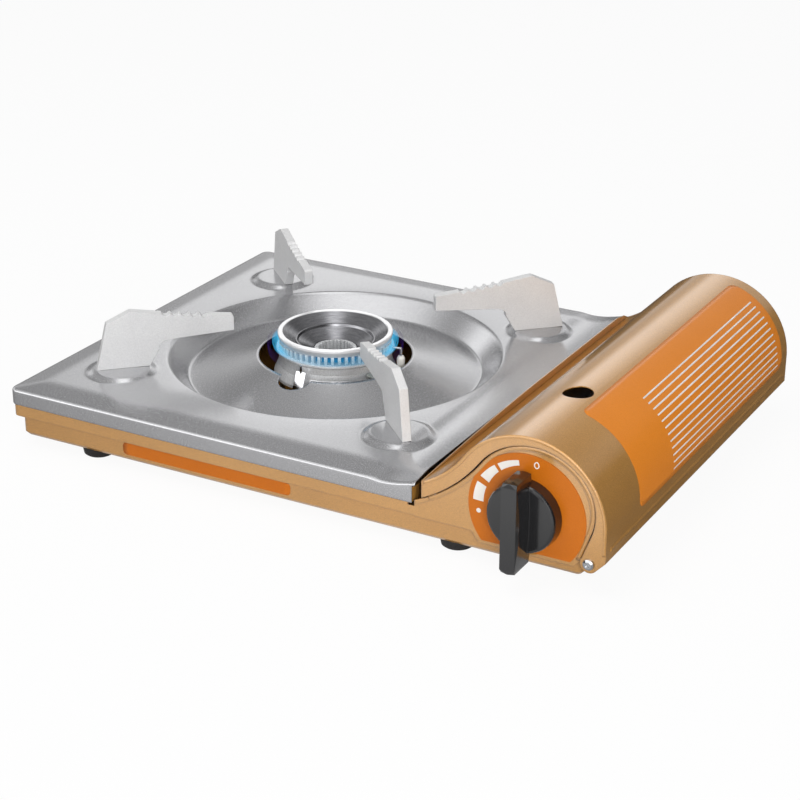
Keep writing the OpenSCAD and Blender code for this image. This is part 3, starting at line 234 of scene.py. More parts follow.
def relief(tree, height, strength, depth, edge):
    """Normal of a bump of this depth in millimetres, with edges rounded where edge is above 0."""
    bump = node(tree, "ShaderNodeBump")
    bump.inputs["Strength"].default_value = strength
    bump.inputs["Distance"].default_value = depth * MM
    link(tree, height, bump.inputs["Height"])
    if edge > 0.0:
        bevel = node(tree, "ShaderNodeBevel", samples=6)
        bevel.inputs["Radius"].default_value = edge * MM
        link(tree, bevel.outputs["Normal"], bump.inputs["Normal"])
    return bump.outputs["Normal"]


# Every surface: roughness of its coat, strength of its grain and share of its flakes
COAT_ROUGHNESS = 0.12
GRAIN_STRENGTH = 0.6
FLAKE_SHARE = 0.42


def surface_material(name, light, dark, rough, metallic=0.0, patch=25.0, grain=1800.0, depth=0.02,
                     stretch=(1, 1, 1), edge=0.0, flakes=0.0, flake_size=3200.0, coat=0.0,
                     specular=0.5, rough_spread=0.08, coat_ior=1.5, tint=(1, 1, 1, 1)):
    """Principled surface: patches between two colours, fine grain, roughness spread and bump."""
    mat, tree = new_material(name)
    out = node(tree, "ShaderNodeOutputMaterial")
    bsdf = node(tree, "ShaderNodeBsdfPrincipled")
    bsdf.inputs["Metallic"].default_value = metallic
    bsdf.inputs["Coat Weight"].default_value = coat
    bsdf.inputs["Coat Roughness"].default_value = COAT_ROUGHNESS
    bsdf.inputs["Specular IOR Level"].default_value = specular
    bsdf.inputs["Specular Tint"].default_value = tint
    bsdf.inputs["Coat IOR"].default_value = coat_ior
    link(tree, bsdf.outputs["BSDF"], out.inputs["Surface"])
    vector = coordinates(tree, stretch)
    patches = noise(tree, vector, patch, 4.0)
    fine = noise(tree, vector, grain, 2.0, 0.6)
    colour = mix_colour(tree, remap(tree, patches, 0.0, 1.0), light, dark)
    if flakes > 0.0:
        cells = node(tree, "ShaderNodeTexVoronoi")
        cells.inputs["Scale"].default_value = flake_size
        link(tree, vector, cells.inputs["Vector"])
        split = node(tree, "ShaderNodeSeparateColor")
        link(tree, cells.outputs["Color"], split.inputs["Color"])
        bright = tuple(min(1.0, c * (1.0 + flakes)) for c in light[:3]) + (1.0,)
        deep = tuple(c * (1.0 - flakes) for c in dark[:3]) + (1.0,)
        speckle = mix_colour(tree, remap(tree, split.outputs["Red"], 0.0, 1.0, 0.0, 1.0), deep, bright)
        colour = mix_colour(tree, FLAKE_SHARE, colour, speckle)
    link(tree, colour, bsdf.inputs["Base Color"])
    link(tree, remap(tree, fine, rough - rough_spread, rough + rough_spread), bsdf.inputs["Roughness"])
    link(tree, relief(tree, fine, GRAIN_STRENGTH, depth, edge), bsdf.inputs["Normal"])
    return mat


def paint_gold():
    return surface_material("gold_paint_look", linear(208, 152, 76), linear(194, 138, 62), 0.36,
                            metallic=0.42, patch=14.0, grain=2600.0, depth=0.008, edge=1.3,
                            flakes=0.34, flake_size=4400.0, coat=0.9, coat_ior=2.15,
                            specular=0.7, tint=(1.0, 0.88, 0.62, 1.0))


def plate_steel():
    return surface_material("plate_steel_look", linear(199, 199, 201), linear(187, 187, 189), 0.25,
                            metallic=0.94, patch=9.0, grain=2400.0, depth=0.005, flakes=0.1,
                            flake_size=3600.0, rough_spread=0.04)


MATERIALS = {}


def build_materials():
    m = MATERIALS
    m["gold_paint"] = paint_gold()
    m["dark_gold_paint"] = surface_material("dark_gold_look", linear(150, 116, 70), linear(120, 92, 54),
                                            0.45, metallic=0.6, edge=0.3, flakes=0.3)
    m["plate_steel"] = plate_steel()
    m["support_steel"] = surface_material("support_steel_look", linear(226, 226, 226),
                                          linear(213, 213, 214), 0.46, metallic=0.25, patch=40.0,
                                          grain=3000.0, depth=0.03, edge=0.5, flakes=0.12)
    m["burner_alloy"] = surface_material("burner_alloy_look", linear(236, 237, 238),
                                         linear(218, 219, 221), 0.3, metallic=0.38, patch=60.0,
                                         grain=2500.0, depth=0.015, edge=0.25)
    m["polished_steel"] = surface_material("polished_steel_look", linear(225, 225, 228),
                                           linear(205, 206, 210), 0.17, metallic=1.0, patch=30.0,
                                           grain=2200.0, depth=0.002, edge=0.3, rough_spread=0.04,
                                           stretch=(1, 1, 8))
    m["plated_steel"] = surface_material("plated_steel_look", linear(190, 193, 197), linear(165, 168, 172),
                                         0.35, metallic=0.9, patch=50.0, depth=0.01, edge=0.3)
    m["spring_steel"] = surface_material("spring_steel_look", linear(212, 212, 214), linear(186, 187, 190),
                                         0.22, metallic=1.0, patch=60.0, depth=0.005, edge=0.2)
    m["scaled_steel"] = surface_material("scaled_steel_look", linear(196, 202, 196),
                                         linear(150, 154, 150), 0.4, metallic=0.25, patch=90.0,
                                         depth=0.02, edge=0.2)
    m["cast_alloy"] = surface_material("cast_alloy_look", linear(168, 170, 174), linear(140, 142, 146),
                                       0.48, metallic=0.8, patch=60.0, grain=1500.0, depth=0.05, edge=0.4)
    m["brass"] = surface_material("brass_look", linear(208, 172, 96), linear(178, 142, 74), 0.28,
                                  metallic=1.0, patch=80.0, depth=0.006, edge=0.2)
    m["black_fitting"] = surface_material("black_fitting_look", linear(46, 46, 48), linear(34, 34, 36),
                                          0.5, patch=40.0, grain=2000.0, depth=0.03, edge=0.4)
    m["black_gloss"] = surface_material("black_gloss_look", linear(20, 19, 22), linear(15, 15, 17), 0.16,
                                        patch=30.0, grain=900.0, depth=0.001, edge=0.8, coat=0.6,
                                        coat_ior=1.6, rough_spread=0.03)
    m["magnet"] = surface_material("magnet_look", linear(150, 150, 154), linear(120, 120, 124), 0.3,
                                   metallic=1.0, edge=0.2)
    m["screw_steel"] = surface_material("screw_steel_look", linear(225, 227, 230), linear(195, 198, 202),
                                        0.2, metallic=1.0, patch=200.0, depth=0.004, edge=0.15)
    m["seal_rubber"] = surface_material("seal_rubber_look", linear(48, 48, 48), linear(36, 36, 36), 0.65,
                                        edge=0.2)
    m["foot_rubber"] = surface_material("foot_rubber_look", linear(30, 27, 27), linear(24, 22, 22), 0.65,
                                        patch=60.0, grain=1600.0, depth=0.03, edge=0.5)
    m["lead_rubber"] = surface_material("lead_rubber_look", linear(52, 52, 54), linear(38, 38, 40), 0.55,
                                        edge=0.0)
    m["ceramic"] = surface_material("ceramic_look", linear(238, 236, 230), linear(224, 220, 212), 0.2,
                                    patch=90.0, grain=900.0, depth=0.004, edge=0.3, coat=0.5)
    m["dial_orange"] = surface_material("dial_orange_look", linear(197, 108, 20), linear(189, 101, 16),
                                        0.36, patch=18.0, grain=2600.0, depth=0.006,
                                        coat=0.06, flakes=0.06, specular=0.25)
    m["film_orange"] = surface_material("film_orange_look", linear(222, 132, 34), linear(213, 124, 28),
                                        0.34, patch=18.0, grain=2600.0, depth=0.006,
                                        coat=0.15, flakes=0.06, specular=0.3)
    m["mark_white"] = surface_material("mark_white_look", linear(236, 232, 226), linear(224, 219, 212),
                                       0.4, patch=60.0, grain=2600.0, depth=0.004)


def turned_cap():
    """Burner cap: painted highlight on its rim, which is lighter and less metallic, and painted shade in
    its bowl, which is darker, with turning marks round its axis.
    """
    mat, tree = new_material("turned_cap_look")
    out = node(tree, "ShaderNodeOutputMaterial")
    bsdf = node(tree, "ShaderNodeBsdfPrincipled")
    bsdf.inputs["Anisotropic"].default_value = 0.7
    link(tree, bsdf.outputs["BSDF"], out.inputs["Surface"])
    vector = coordinates(tree)
    split = node(tree, "ShaderNodeSeparateXYZ")
    link(tree, vector, split.inputs["Vector"])
    top = remap(tree, split.outputs["Z"], 0.0, 1.0, CAP_RIM_HIGHLIGHT_Z[0] * MM, CAP_RIM_HIGHLIGHT_Z[1] * MM)
    radius = node(tree, "ShaderNodeVectorMath", operation="DISTANCE")
    radius.inputs[1].default_value = row(BOWL_X, BOWL_Y, ORIGIN[2])
    link(tree, coordinates(tree, (1, 1, 0)), radius.inputs[0])
    band = remap(tree, radius.outputs["Value"], 0.0, 1.0, CAP_RIM_HIGHLIGHT_R[0] * MM, CAP_RIM_HIGHLIGHT_R[1] * MM)
    # painted highlight: the rim gets a lighter colour and less metal than the bowl
    rim_highlight = calculate(tree, "MAXIMUM", top, band)
    link(tree, remap(tree, rim_highlight, 1.0, 0.55, 0.0, 1.0), bsdf.inputs["Metallic"])
    marks = noise(tree, coordinates(tree, (1, 1, 14)), 160.0, 4.0, 0.6)
    # painted shade: the bowl's colour is darker than the rim's, though both are the same steel
    bowl = mix_colour(tree, remap(tree, marks, 0.0, 1.0), linear(152, 152, 155), linear(130, 130, 134))
    bright = mix_colour(tree, remap(tree, marks, 0.0, 1.0), linear(250, 250, 251), linear(240, 240, 242))
    link(tree, mix_colour(tree, rim_highlight, bowl, bright), bsdf.inputs["Base Color"])
    fine = noise(tree, vector, 2200.0, 2.0)
    link(tree, remap(tree, fine, 0.16, 0.24), bsdf.inputs["Roughness"])
    link(tree, relief(tree, marks, 0.4, 0.003, 0.3), bsdf.inputs["Normal"])
    around = node(tree, "ShaderNodeTangent", direction_type="RADIAL", axis="Z")
    link(tree, around.outputs["Tangent"], bsdf.inputs["Tangent"])
    return mat


def dress_nodes():
    for obj in nodes.values():
        slot = obj.data.materials[0].name.split(".")[0]
        obj.data.materials[0] = MATERIALS[slot]
    nodes["burner_cap"].data.materials[0] = turned_cap()


# Mesh helpers
def mesh_object(name, verts, faces, material, smooth=True):
    mesh = bpy.data.meshes.new(name)
    mesh.from_pydata([tuple(v) for v in verts], [], faces)
    mesh.validate()
    mesh.update()
    for poly in mesh.polygons:
        poly.use_smooth = smooth
    obj = bpy.data.objects.new(name, mesh)
    bpy.context.scene.collection.objects.link(obj)
    mesh.materials.append(material)
    return obj


def smooth_min(a, b, k):
    h = max(k - abs(a - b), 0.0) / k
    return min(a, b) - h * h * k * 0.25


def smooth_max(a, b, k):
    return -smooth_min(-a, -b, k)


# Pressed top plate as one smooth sheet, from the construction's own sizes
FOLD_R = 1.7
# Widths over which neighbouring faces of the plate flow into each other
BORDER_SOFT = 0.5
SHOULDER_SOFT = 0.45
WALL_SOFT = 1.4
FLOOR_SOFT = 1.0
BOSS_TOP_SOFT = 0.7
BOSS_FOOT_SOFT = 0.5
# Drip bowl: how far the plate sinks towards it and over what distance, a point and the slope of its wall,
# and the width and the power of the rise to the burner hole
BOWL_SINK = 0.42
BOWL_SINK_REACH = 9.0
WALL_R = 98.9
WALL_Z = 1.3
WALL_SLOPE = 1.02
RISE_W = 42.0
RISE_POWER = 1.25
# Bosses: how far the foot of the slope stands out, and beyond what margin nothing is left of it
BOSS_FOOT = 0.4
BOSS_MARGIN = 4
# Share of the gutter's width that is left when the gutter is down at its depth
GUTTER_FLAT = 0.7


def gutter(x):
    x0 = PLATE_W - GUTTER_W
    x1 = PLATE_W - GUTTER_FLAT * GUTTER_W
    if x < x0:
        return 0.0
    if x < x1:
        return -GUTTER_DEPTH * (1 - math.cos(math.pi * (x - x0) / (x1 - x0))) / 2
    rise = 1 - math.cos(math.pi / 2 * min((x - x1) / (PLATE_W - x1), 1.0))
    return -GUTTER_DEPTH + (GUTTER_DEPTH + GUTTER_LIP) * rise


def edge_distance(x, y):
    """Distance to the plate's left, front or back edge, round its left corners."""
    r = PLATE_CORNER_R
    dy = min(y, PLATE_D - y)
    if x < r and dy < r:
        return r - math.hypot(r - x, r - dy)
    return min(x, dy)


def plate_height(x, y):
    slope = BORDER_RISE / BORDER_W
    z = smooth_min(x * slope, y * slope, BORDER_SOFT)
    z = smooth_min(z, (PLATE_D - y) * slope, BORDER_SOFT)
    z = smooth_min(z, BORDER_RISE, SHOULDER_SOFT) + gutter(x)
    r = math.hypot(x - BOWL_X, y - BOWL_Y)
    z -= BOWL_SINK * math.exp(-max(r - BOWL_R, 0.0) / BOWL_SINK_REACH)
    floor = BOWL_FLOOR_Z + HOLE_RISE * (max(0.0, BOWL_FLOOR_R - r) / RISE_W) ** RISE_POWER
    wall = WALL_Z + (r - WALL_R) * WALL_SLOPE
    z = smooth_max(smooth_min(z, wall, WALL_SOFT), floor, FLOOR_SOFT)
    for sx in (-1, 1):
        for sy in (-1, 1):
            b = math.hypot(x - BOWL_X - sx * BOSS_DX, y - BOWL_Y - sy * BOSS_DY)
            if b < BOSS_R + BOSS_MARGIN:
                ramp = (BOSS_R + BOSS_FOOT - b) * BOSS_H / (BOSS_R - BOSS_TOP_R)
                z += smooth_max(smooth_min(ramp, BOSS_H, BOSS_TOP_SOFT), 0.0, BOSS_FOOT_SOFT)
    d = edge_distance(x, y)
    if d < FOLD_R:
        z -= FOLD_R - math.sqrt(max(FOLD_R ** 2 - (FOLD_R - max(d, 0.0)) ** 2, 0.0))
    return z


# Spacing of the outline's points: along the edges, where their rays pass the sides of the hole's notch,
# between those, and round the corners in radians
STEP = 1.7
NOTCH_SIDE_STEP = 0.35
NOTCH_MID_STEP = 1.6
CORNER_STEP = 0.12
# Distances left and right of the bowl's centre between which the front edge's rays pass the notch's sides
NOTCH_MID = 20
NOTCH_SIDE = 34


def spread(a, b, step):
    n = max(2, int(math.ceil(abs(b - a) / step)))
    return [a + (b - a) * i / n for i in range(n)]


def plate_outline():
    """Points round the plate from the right end of the front edge, clockwise seen from above."""
    r = PLATE_CORNER_R
    xs = spread(PLATE_W, BOWL_X + NOTCH_SIDE, STEP)
    xs += spread(BOWL_X + NOTCH_SIDE, BOWL_X + NOTCH_MID, NOTCH_SIDE_STEP)
    xs += spread(BOWL_X + NOTCH_MID, BOWL_X - NOTCH_MID, NOTCH_MID_STEP)
    xs += spread(BOWL_X - NOTCH_MID, BOWL_X - NOTCH_SIDE, NOTCH_SIDE_STEP)
    xs += spread(BOWL_X - NOTCH_SIDE, r, STEP)
    turns = spread(0, math.pi / 2, CORNER_STEP)
    points = [(x, 0.0) for x in xs]
    points += [(r - r * math.sin(a), r - r * math.cos(a)) for a in turns]
    points += [(0.0, y) for y in spread(r, PLATE_D - r, STEP)]
    points += [(r - r * math.cos(a), PLATE_D - r + r * math.sin(a)) for a in turns]
    points += [(x, PLATE_D) for x in spread(r, PLATE_W, STEP)]
    skirt_end = len(points)
    points += [(PLATE_W, y) for y in spread(PLATE_D, 0.0, STEP)]
    return points, skirt_end


# Angle from the front, in radians, beyond which the hole's notch can't lie
NOTCH_LIMIT = 1.0


def hole_radius(angle):
    """Radius of the burner hole in a direction, with its notch at the front."""
    turn = abs((angle + math.pi / 2 + math.pi) % (2 * math.pi) - math.pi)
    side = HOLE_R * math.sin(turn)
    if turn > NOTCH_LIMIT or side > NOTCH_R:
        return HOLE_R
    return max(HOLE_R, HOLE_R * math.cos(turn) + math.sqrt(NOTCH_R ** 2 - side ** 2))


# Distances from the bowl's centre at which every ray has a point
BOWL_RINGS = [60, 64, 68, 72, 76, 80, 83, 85, 86, 86.7, 87.2, 87.7, 88.2, 88.8, 89.6, 91, 93, 95, 96.8,
              98, 98.7, 99.2, 99.7, 100.2, 100.7, 101.2, 101.8, 102.6, 104, 106]
# Steps inside the rings, between the rings and the fold, and on the fold, and tries to find a crossing
HOLE_STEPS = 8
OUTER_STEPS = 58
FOLD_STEPS = 7
HALVINGS = 22
# Width of the closely divided strip at the right edge, which has no fold
END_STRIP = 3.0


def fold_stations(ux, uy, reach):
    """Distances along a ray at which it crosses the steps of the fold at the plate's edge."""
    found = []
    for i in range(FOLD_STEPS + 1):
        want = FOLD_R * (1 - math.sin(math.pi / 2 * i / FOLD_STEPS))
        low, high = BOWL_RINGS[-1], reach
        for _ in range(HALVINGS):
            mid = (low + high) / 2
            if edge_distance(BOWL_X + ux * mid, BOWL_Y + uy * mid) > want:
                low = mid
            else:
                high = mid
        found.append(high)
    return found


def ray_stations(px, py, has_fold):
    """Points from the burner hole's edge to a point of the plate's outline."""
    dx, dy = px - BOWL_X, py - BOWL_Y
    reach = math.hypot(dx, dy)
    ux, uy = dx / reach, dy / reach
    start = hole_radius(math.atan2(dy, dx))
    stations = [start + (BOWL_RINGS[0] - start) * i / HOLE_STEPS for i in range(HOLE_STEPS)]
    stations += BOWL_RINGS
    if has_fold:
        fold = fold_stations(ux, uy, reach)
    else:
        fold = [reach - END_STRIP * (1 - i / FOLD_STEPS) for i in range(FOLD_STEPS + 1)]
    last = BOWL_RINGS[-1]
    stations += [last + (fold[0] - last) * i / (OUTER_STEPS + 1) for i in range(1, OUTER_STEPS + 1)]
    stations += fold
    return [(BOWL_X + ux * s, BOWL_Y + uy * s) for s in stations]


# Levels of the skirt below the plate's edge, and how far each of them is turned in
SKIRT_LEVELS = [(-FOLD_R - 1.0, 0.0), (-FOLD_R - 3.0, 0.0), (-SKIRT_H + 1.2, 0.0),
                (-SKIRT_H + 0.4, 0.0), (-SKIRT_H, 0.15)]


def build_top_plate():
    outline, skirt_end = plate_outline()
    count = len(outline)
    verts, faces = [], []
    for i, (px, py) in enumerate(outline):
        for x, y in ray_stations(px, py, 0 < i < skirt_end):
            verts.append(row(x, y, plate_height(x, y)))
    per = len(verts) // count
    for i in range(count):
        j = (i + 1) % count
        for k in range(per - 1):
            faces.append((i * per + k, i * per + k + 1, j * per + k + 1, j * per + k))
    # skirt: straight down from the fold, with a small turn at its foot
    base = len(verts)
    ring = list(range(1, skirt_end))
    for i in ring:
        px, py = outline[i]
        for z, inward in SKIRT_LEVELS:
            cx = min(max(px, PLATE_CORNER_R), PLATE_W)
            cy = min(max(py, PLATE_CORNER_R), PLATE_D - PLATE_CORNER_R)
            off = Vector((px - cx, py - cy))
            off = off.normalized() if off.length > 0 else off
            verts.append(row(px - off.x * inward, py - off.y * inward, z))
    n = len(SKIRT_LEVELS)
    for a in range(len(ring) - 1):
        i, j = ring[a], ring[a + 1]
        top_i, top_j = i * per + per - 1, j * per + per - 1
        faces.append((top_i, base + a * n, base + (a + 1) * n, top_j))
        for k in range(n - 1):
            faces.append((base + a * n + k, base + a * n + k + 1,
                          base + (a + 1) * n + k + 1, base + (a + 1) * n + k))
    obj = mesh_object("pressed_top_plate", verts, faces, MATERIALS["plate_steel"])
    thicken(obj, PLATE_T)
    bm = bmesh.new()
    bm.from_mesh(obj.data)
    bmesh.ops.recalc_face_normals(bm, faces=bm.faces)
    up = sum(f.normal.z for f in bm.faces)
    if up < 0:
        bmesh.ops.reverse_faces(bm, faces=bm.faces)
    bm.to_mesh(obj.data)
    bm.free()
    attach(obj, "top")
    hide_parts("top_plate")


# Film and marks: thin sheets that follow the surface under them
CORNER_STEPS = 6


def rounded_patch(name, u0, u1, v0, v1, corner, place, material, lift, step=3.0):
    """Sheet over u0..u1, v0..v1 with rounded corners; place(u, v, lift) gives the point."""
    turns = [math.pi / 2 * i / CORNER_STEPS for i in range(CORNER_STEPS + 1)]
    rows_v = [v0 + corner * (1 - math.cos(a)) for a in turns]
    n = max(1, int((v1 - v0 - 2 * corner) / step))
    rows_v += [v0 + corner + (v1 - v0 - 2 * corner) * i / n for i in range(1, n)]
    rows_v += [v1 - corner * (1 - math.sin(a)) for a in turns]
    cols = max(2, int((u1 - u0) / step))
    verts, faces = [], []
    for v in rows_v:
        gap = min(v - v0, v1 - v)
        cut = 0.0
        if gap < corner:
            cut = corner - math.sqrt(max(corner ** 2 - (corner - gap) ** 2, 0.0))
        for c in range(cols + 1):
            u = u0 + cut + (u1 - u0 - 2 * cut) * c / cols
            verts.append(place(u, v, lift))
    w = cols + 1
    for i in range(len(rows_v) - 1):
        for c in range(cols):
            faces.append((i * w + c, i * w + c + 1, (i + 1) * w + c + 1, (i + 1) * w + c))
    return mesh_object(name, verts, faces, material)


def join_meshes(name, parts):
    verts, faces = [], []
    material = parts[0].data.materials[0]
    for part in parts:
        base = len(verts)
        verts += [v.co.copy() for v in part.data.vertices]
        faces += [tuple(base + k for k in p.vertices) for p in part.data.polygons]
        bpy.data.objects.remove(part)
    return mesh_object(name, verts, faces, material)


def outward(obj, centre):
    """Turns every face of a thin sheet away from a point."""
    bm = bmesh.new()
    bm.from_mesh(obj.data)
    flip = [f for f in bm.faces if f.normal.dot(f.calc_center_median() - centre) < 0]
    bmesh.ops.reverse_faces(bm, faces=flip)
    bm.to_mesh(obj.data)
    bm.free()


def thicken(obj, thick):
    solid = obj.modifiers.new("sheet", "SOLIDIFY")
    solid.thickness = thick * MM
    solid.offset = -1.0


def on_dome(u, v, lift):
    """u: arc length down the dome from its top towards the right, v: distance from the front."""
    r = LID_R + lift
    turn = u / LID_R
    if turn <= math.pi / 2:
        return row(DOME_X + r * math.sin(turn), v, r * math.cos(turn))
    return row(DOME_X + r, v, -(u - LID_R * math.pi / 2))


# Height of the film and of print over what carries them, and their thickness
FILM_LIFT = 0.12
FILM_T = 0.1
PRINT_LIFT = 0.17
PRINT_T = 0.04
# Film on the lid: its ends down the dome from the top, its ends from the front, and its corner
FILM_U = (LID_R * math.radians(12), LID_R * math.radians(95))
FILM_V = (41.0, 255.0)
FILM_CORNER = 5.0
# Plain stripes on the film, where the photograph has print
STRIPES = 12
STRIPE_U = (LID_R * math.radians(34), LID_R * math.radians(90))
STRIPE_V = (86.0, 248.0)
STRIPE_HALF = 0.45
STRIPE_CORNER = 0.4


def build_film():
    film = rounded_patch("lid_film", *FILM_U, *FILM_V, FILM_CORNER, on_dome,
                         MATERIALS["film_orange"], FILM_LIFT)
    outward(film, row(*DOME_INSIDE))
    thicken(film, FILM_T)
    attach(film, "lid")
    stripes = []
    for i in range(STRIPES):
        u = STRIPE_U[0] + (STRIPE_U[1] - STRIPE_U[0]) * i / (STRIPES - 1)
        stripes.append(rounded_patch("stripe", u - STRIPE_HALF, u + STRIPE_HALF, *STRIPE_V, STRIPE_CORNER,
                                     on_dome, MATERIALS["mark_white"], PRINT_LIFT))
    lines = join_meshes("lid_film_stripes", stripes)
    outward(lines, row(*DOME_INSIDE))
    thicken(lines, PRINT_T)
    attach(lines, "lid")


# Beads along the edge of the dial panel and along the front fold of the lid, as smooth half-rounds
ARC_STEPS = 24
DOME_STEPS = 60
KNEE_STEPS = 12
FOOT_STEPS = 8
FOLD_FOOT_STEPS = 10
BEAD_AROUND = 10
# The panel's bead is evened out from this many points before the end of its dome, this many times
SOFT_BEFORE = 12
SOFT_PASSES = 30


def s_curve(centre, radius, degrees, edge, left, right, inset):
    """Points in X and Z: up the concave arc from x = left, then over the dome to x = right."""
    turn = math.radians(degrees)
    u = Vector((math.cos(turn), math.sin(turn)))
    v = edge - centre - radius * u
    arc_r = v.dot(v) / (2 * v.dot(u))
    other = centre + (radius + arc_r) * u
    start = math.acos((left - other.x) / (arc_r + inset))
    end = math.pi - turn
    points = []
    for i in range(ARC_STEPS + 1):
        a = -(start + (end - start) * i / ARC_STEPS)
        points.append(other + (arc_r + inset) * Vector((math.cos(a), math.sin(a))))
    last = math.acos((right - centre.x) / (radius - inset))
    for i in range(1, DOME_STEPS + 1):
        a = turn + (last - turn) * i / DOME_STEPS
        points.append(centre + (radius - inset) * Vector((math.cos(a), math.sin(a))))
    return points


def straight(points, target, count):
    """The same points and a straight run of count more to the target."""
    start = points[-1]
    return points + [start + (target - start) * i / count for i in range(1, count + 1)]


def soften(points, first):
    """Evens out the points from number first on, all but the last."""
    for _ in range(SOFT_PASSES):
        soft = list(points)
        for i in range(first, len(points) - 1):
            soft[i] = points[i] * 0.5 + (points[i - 1] + points[i + 1]) * 0.25
        points = soft
    return points


def half_round(name, path, front, half, proud):
    """Strip of width 2 half along a path, which stands proud in front of y = front."""
    verts, faces = [], []
    for i, point in enumerate(path):
        along = (path[min(i + 1, len(path) - 1)] - path[max(i - 1, 0)]).normalized()
        side = Vector((along.y, -along.x))
        for k in range(BEAD_AROUND + 1):
            b = math.pi * k / BEAD_AROUND
            at = point + side * (half * math.cos(b))
            verts.append(row(at.x, front - proud * math.sin(b), at.y))
    w = BEAD_AROUND + 1
    for i in range(len(path) - 1):
        for k in range(BEAD_AROUND):
            faces.append((i * w + k, i * w + k + 1, (i + 1) * w + k + 1, (i + 1) * w + k))
    faces.append(tuple(range(w)))
    faces.append(tuple(range((len(path) - 1) * w, len(path) * w)))
    bead = mesh_object(name, verts, faces, MATERIALS["gold_paint"])
    outward(bead, row(*BEHIND_PANEL))
    return bead


# A point behind the dial panel, from which beads and marks face away
BEHIND_PANEL = (KNOB_X, 60, 0)
# Opening of the lid's front flange: centre of its dome arc, the angle round that centre at which the
# dome arc meets the concave arc, and the point at the left where the concave arc begins
OPEN_CENTRE = Vector((DOME_X + 2.8, LID_R - 5.2 - OPEN_R))
OPEN_TURN = 144
OPEN_EDGE = Vector((LID_X0, -4.4))
# Panel's bead: distance inside the opening, half width, how far it stands proud, where it starts at
# the left, and the two ends of its straight runs down at the right
PANEL_BEAD_INSET = 1.7
PANEL_BEAD_HALF = 1.2
PANEL_BEAD_PROUD = 0.85
PANEL_BEAD_X0 = LID_X0 + 3.6
PANEL_BEAD_KNEE = Vector((OPEN_X1 - PANEL_BEAD_INSET, 2.0))
PANEL_BEAD_FOOT = Vector((HINGE_X - 4.9 - PANEL_BEAD_INSET, -18.2))
# Fold's bead: the same, along the dome itself and straight down at the right
DOME_CENTRE = Vector((DOME_X, 0.0))
DOME_TURN = 145
DOME_EDGE = Vector((LID_X0, LID_EDGE_Z))
FOLD_BEAD_INSET = 1.0
FOLD_BEAD_HALF = 0.8
FOLD_BEAD_PROUD = 0.5
FOLD_BEAD_X0 = LID_X0 + 1.2
FOLD_BEAD_FOOT = Vector((LID_X1 - FOLD_BEAD_INSET, -12.0))


def build_panel_bead():
    path = s_curve(OPEN_CENTRE, OPEN_R, OPEN_TURN, OPEN_EDGE, PANEL_BEAD_X0, PANEL_BEAD_KNEE.x,
                   PANEL_BEAD_INSET)
    soft_from = len(path) - SOFT_BEFORE
    path = straight(path, PANEL_BEAD_KNEE, KNEE_STEPS)
    path = straight(path, PANEL_BEAD_FOOT, FOOT_STEPS)
    bead = half_round("panel_bead", soften(path, soft_from), PANEL_Y, PANEL_BEAD_HALF, PANEL_BEAD_PROUD)
    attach(bead, "base")


def build_fold_bead():
    path = s_curve(DOME_CENTRE, LID_R, DOME_TURN, DOME_EDGE, FOLD_BEAD_X0, FOLD_BEAD_FOOT.x,
                   FOLD_BEAD_INSET)
    path = straight(path, FOLD_BEAD_FOOT, FOLD_FOOT_STEPS)
    bead = half_round("lid_fold_bead", path, LID_FRONT_Y, FOLD_BEAD_HALF, FOLD_BEAD_PROUD)
    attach(bead, "lid")


def on_band(u, v, lift):
    return row(u, BAND_Y - lift, v)


# Strip on the front wall: its ends in X and in Z, its corner, and a point behind it
STRIP_U = (76.0, 186.0)
STRIP_V = (-25.6, -18.2)
STRIP_CORNER = 2.5
BEHIND_STRIP = (130, 50, -22)


def build_front_strip():
    strip = rounded_patch("front_strip", *STRIP_U, *STRIP_V, STRIP_CORNER, on_band,
                          MATERIALS["dial_orange"], FILM_LIFT, step=4.0)
    outward(strip, row(*BEHIND_STRIP))
    thicken(strip, FILM_T)
    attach(strip, "base")


def dial_point(radius, degrees, lift):
    a = math.radians(degrees)
    return row(KNOB_X + radius * math.cos(a), DIAL_Y - lift, KNOB_Z + radius * math.sin(a))


# Wedges of the dial: start and end angle, inner and outer radius at the start and the end
WEDGES = [(178, 157, 24.0, 24.4, 29.8, 29.9), (150, 129, 24.3, 25.1, 29.9, 29.1),
          (125, 100, 25.1, 25.9, 29.0, 28.7)]
WEDGE_STEPS = 8
# Height of the marks over the dial, and points round the ring and the dot
MARK_LIFT = 0.05
MARK_POINTS = 20
# Ring at the closed position and dot at the ignition position: distance from the knob's axis and angle,
# and half width and half height of the ring's inner and outer edge and of the dot
RING_AT = (28.0, 80)
RING_INNER = (0.9, 1.3)
RING_OUTER = (1.5, 1.9)
DOT_AT = (27.0, 190)
DOT = (1.3, 1.3)


def mark_edge(place, half):
    centre = dial_point(*place, 0.0)
    turns = [2 * math.pi * i / MARK_POINTS for i in range(MARK_POINTS)]
    return [centre + Vector((half[0] * math.cos(a) * MM, -MARK_LIFT * MM, half[1] * math.sin(a) * MM))
            for a in turns]


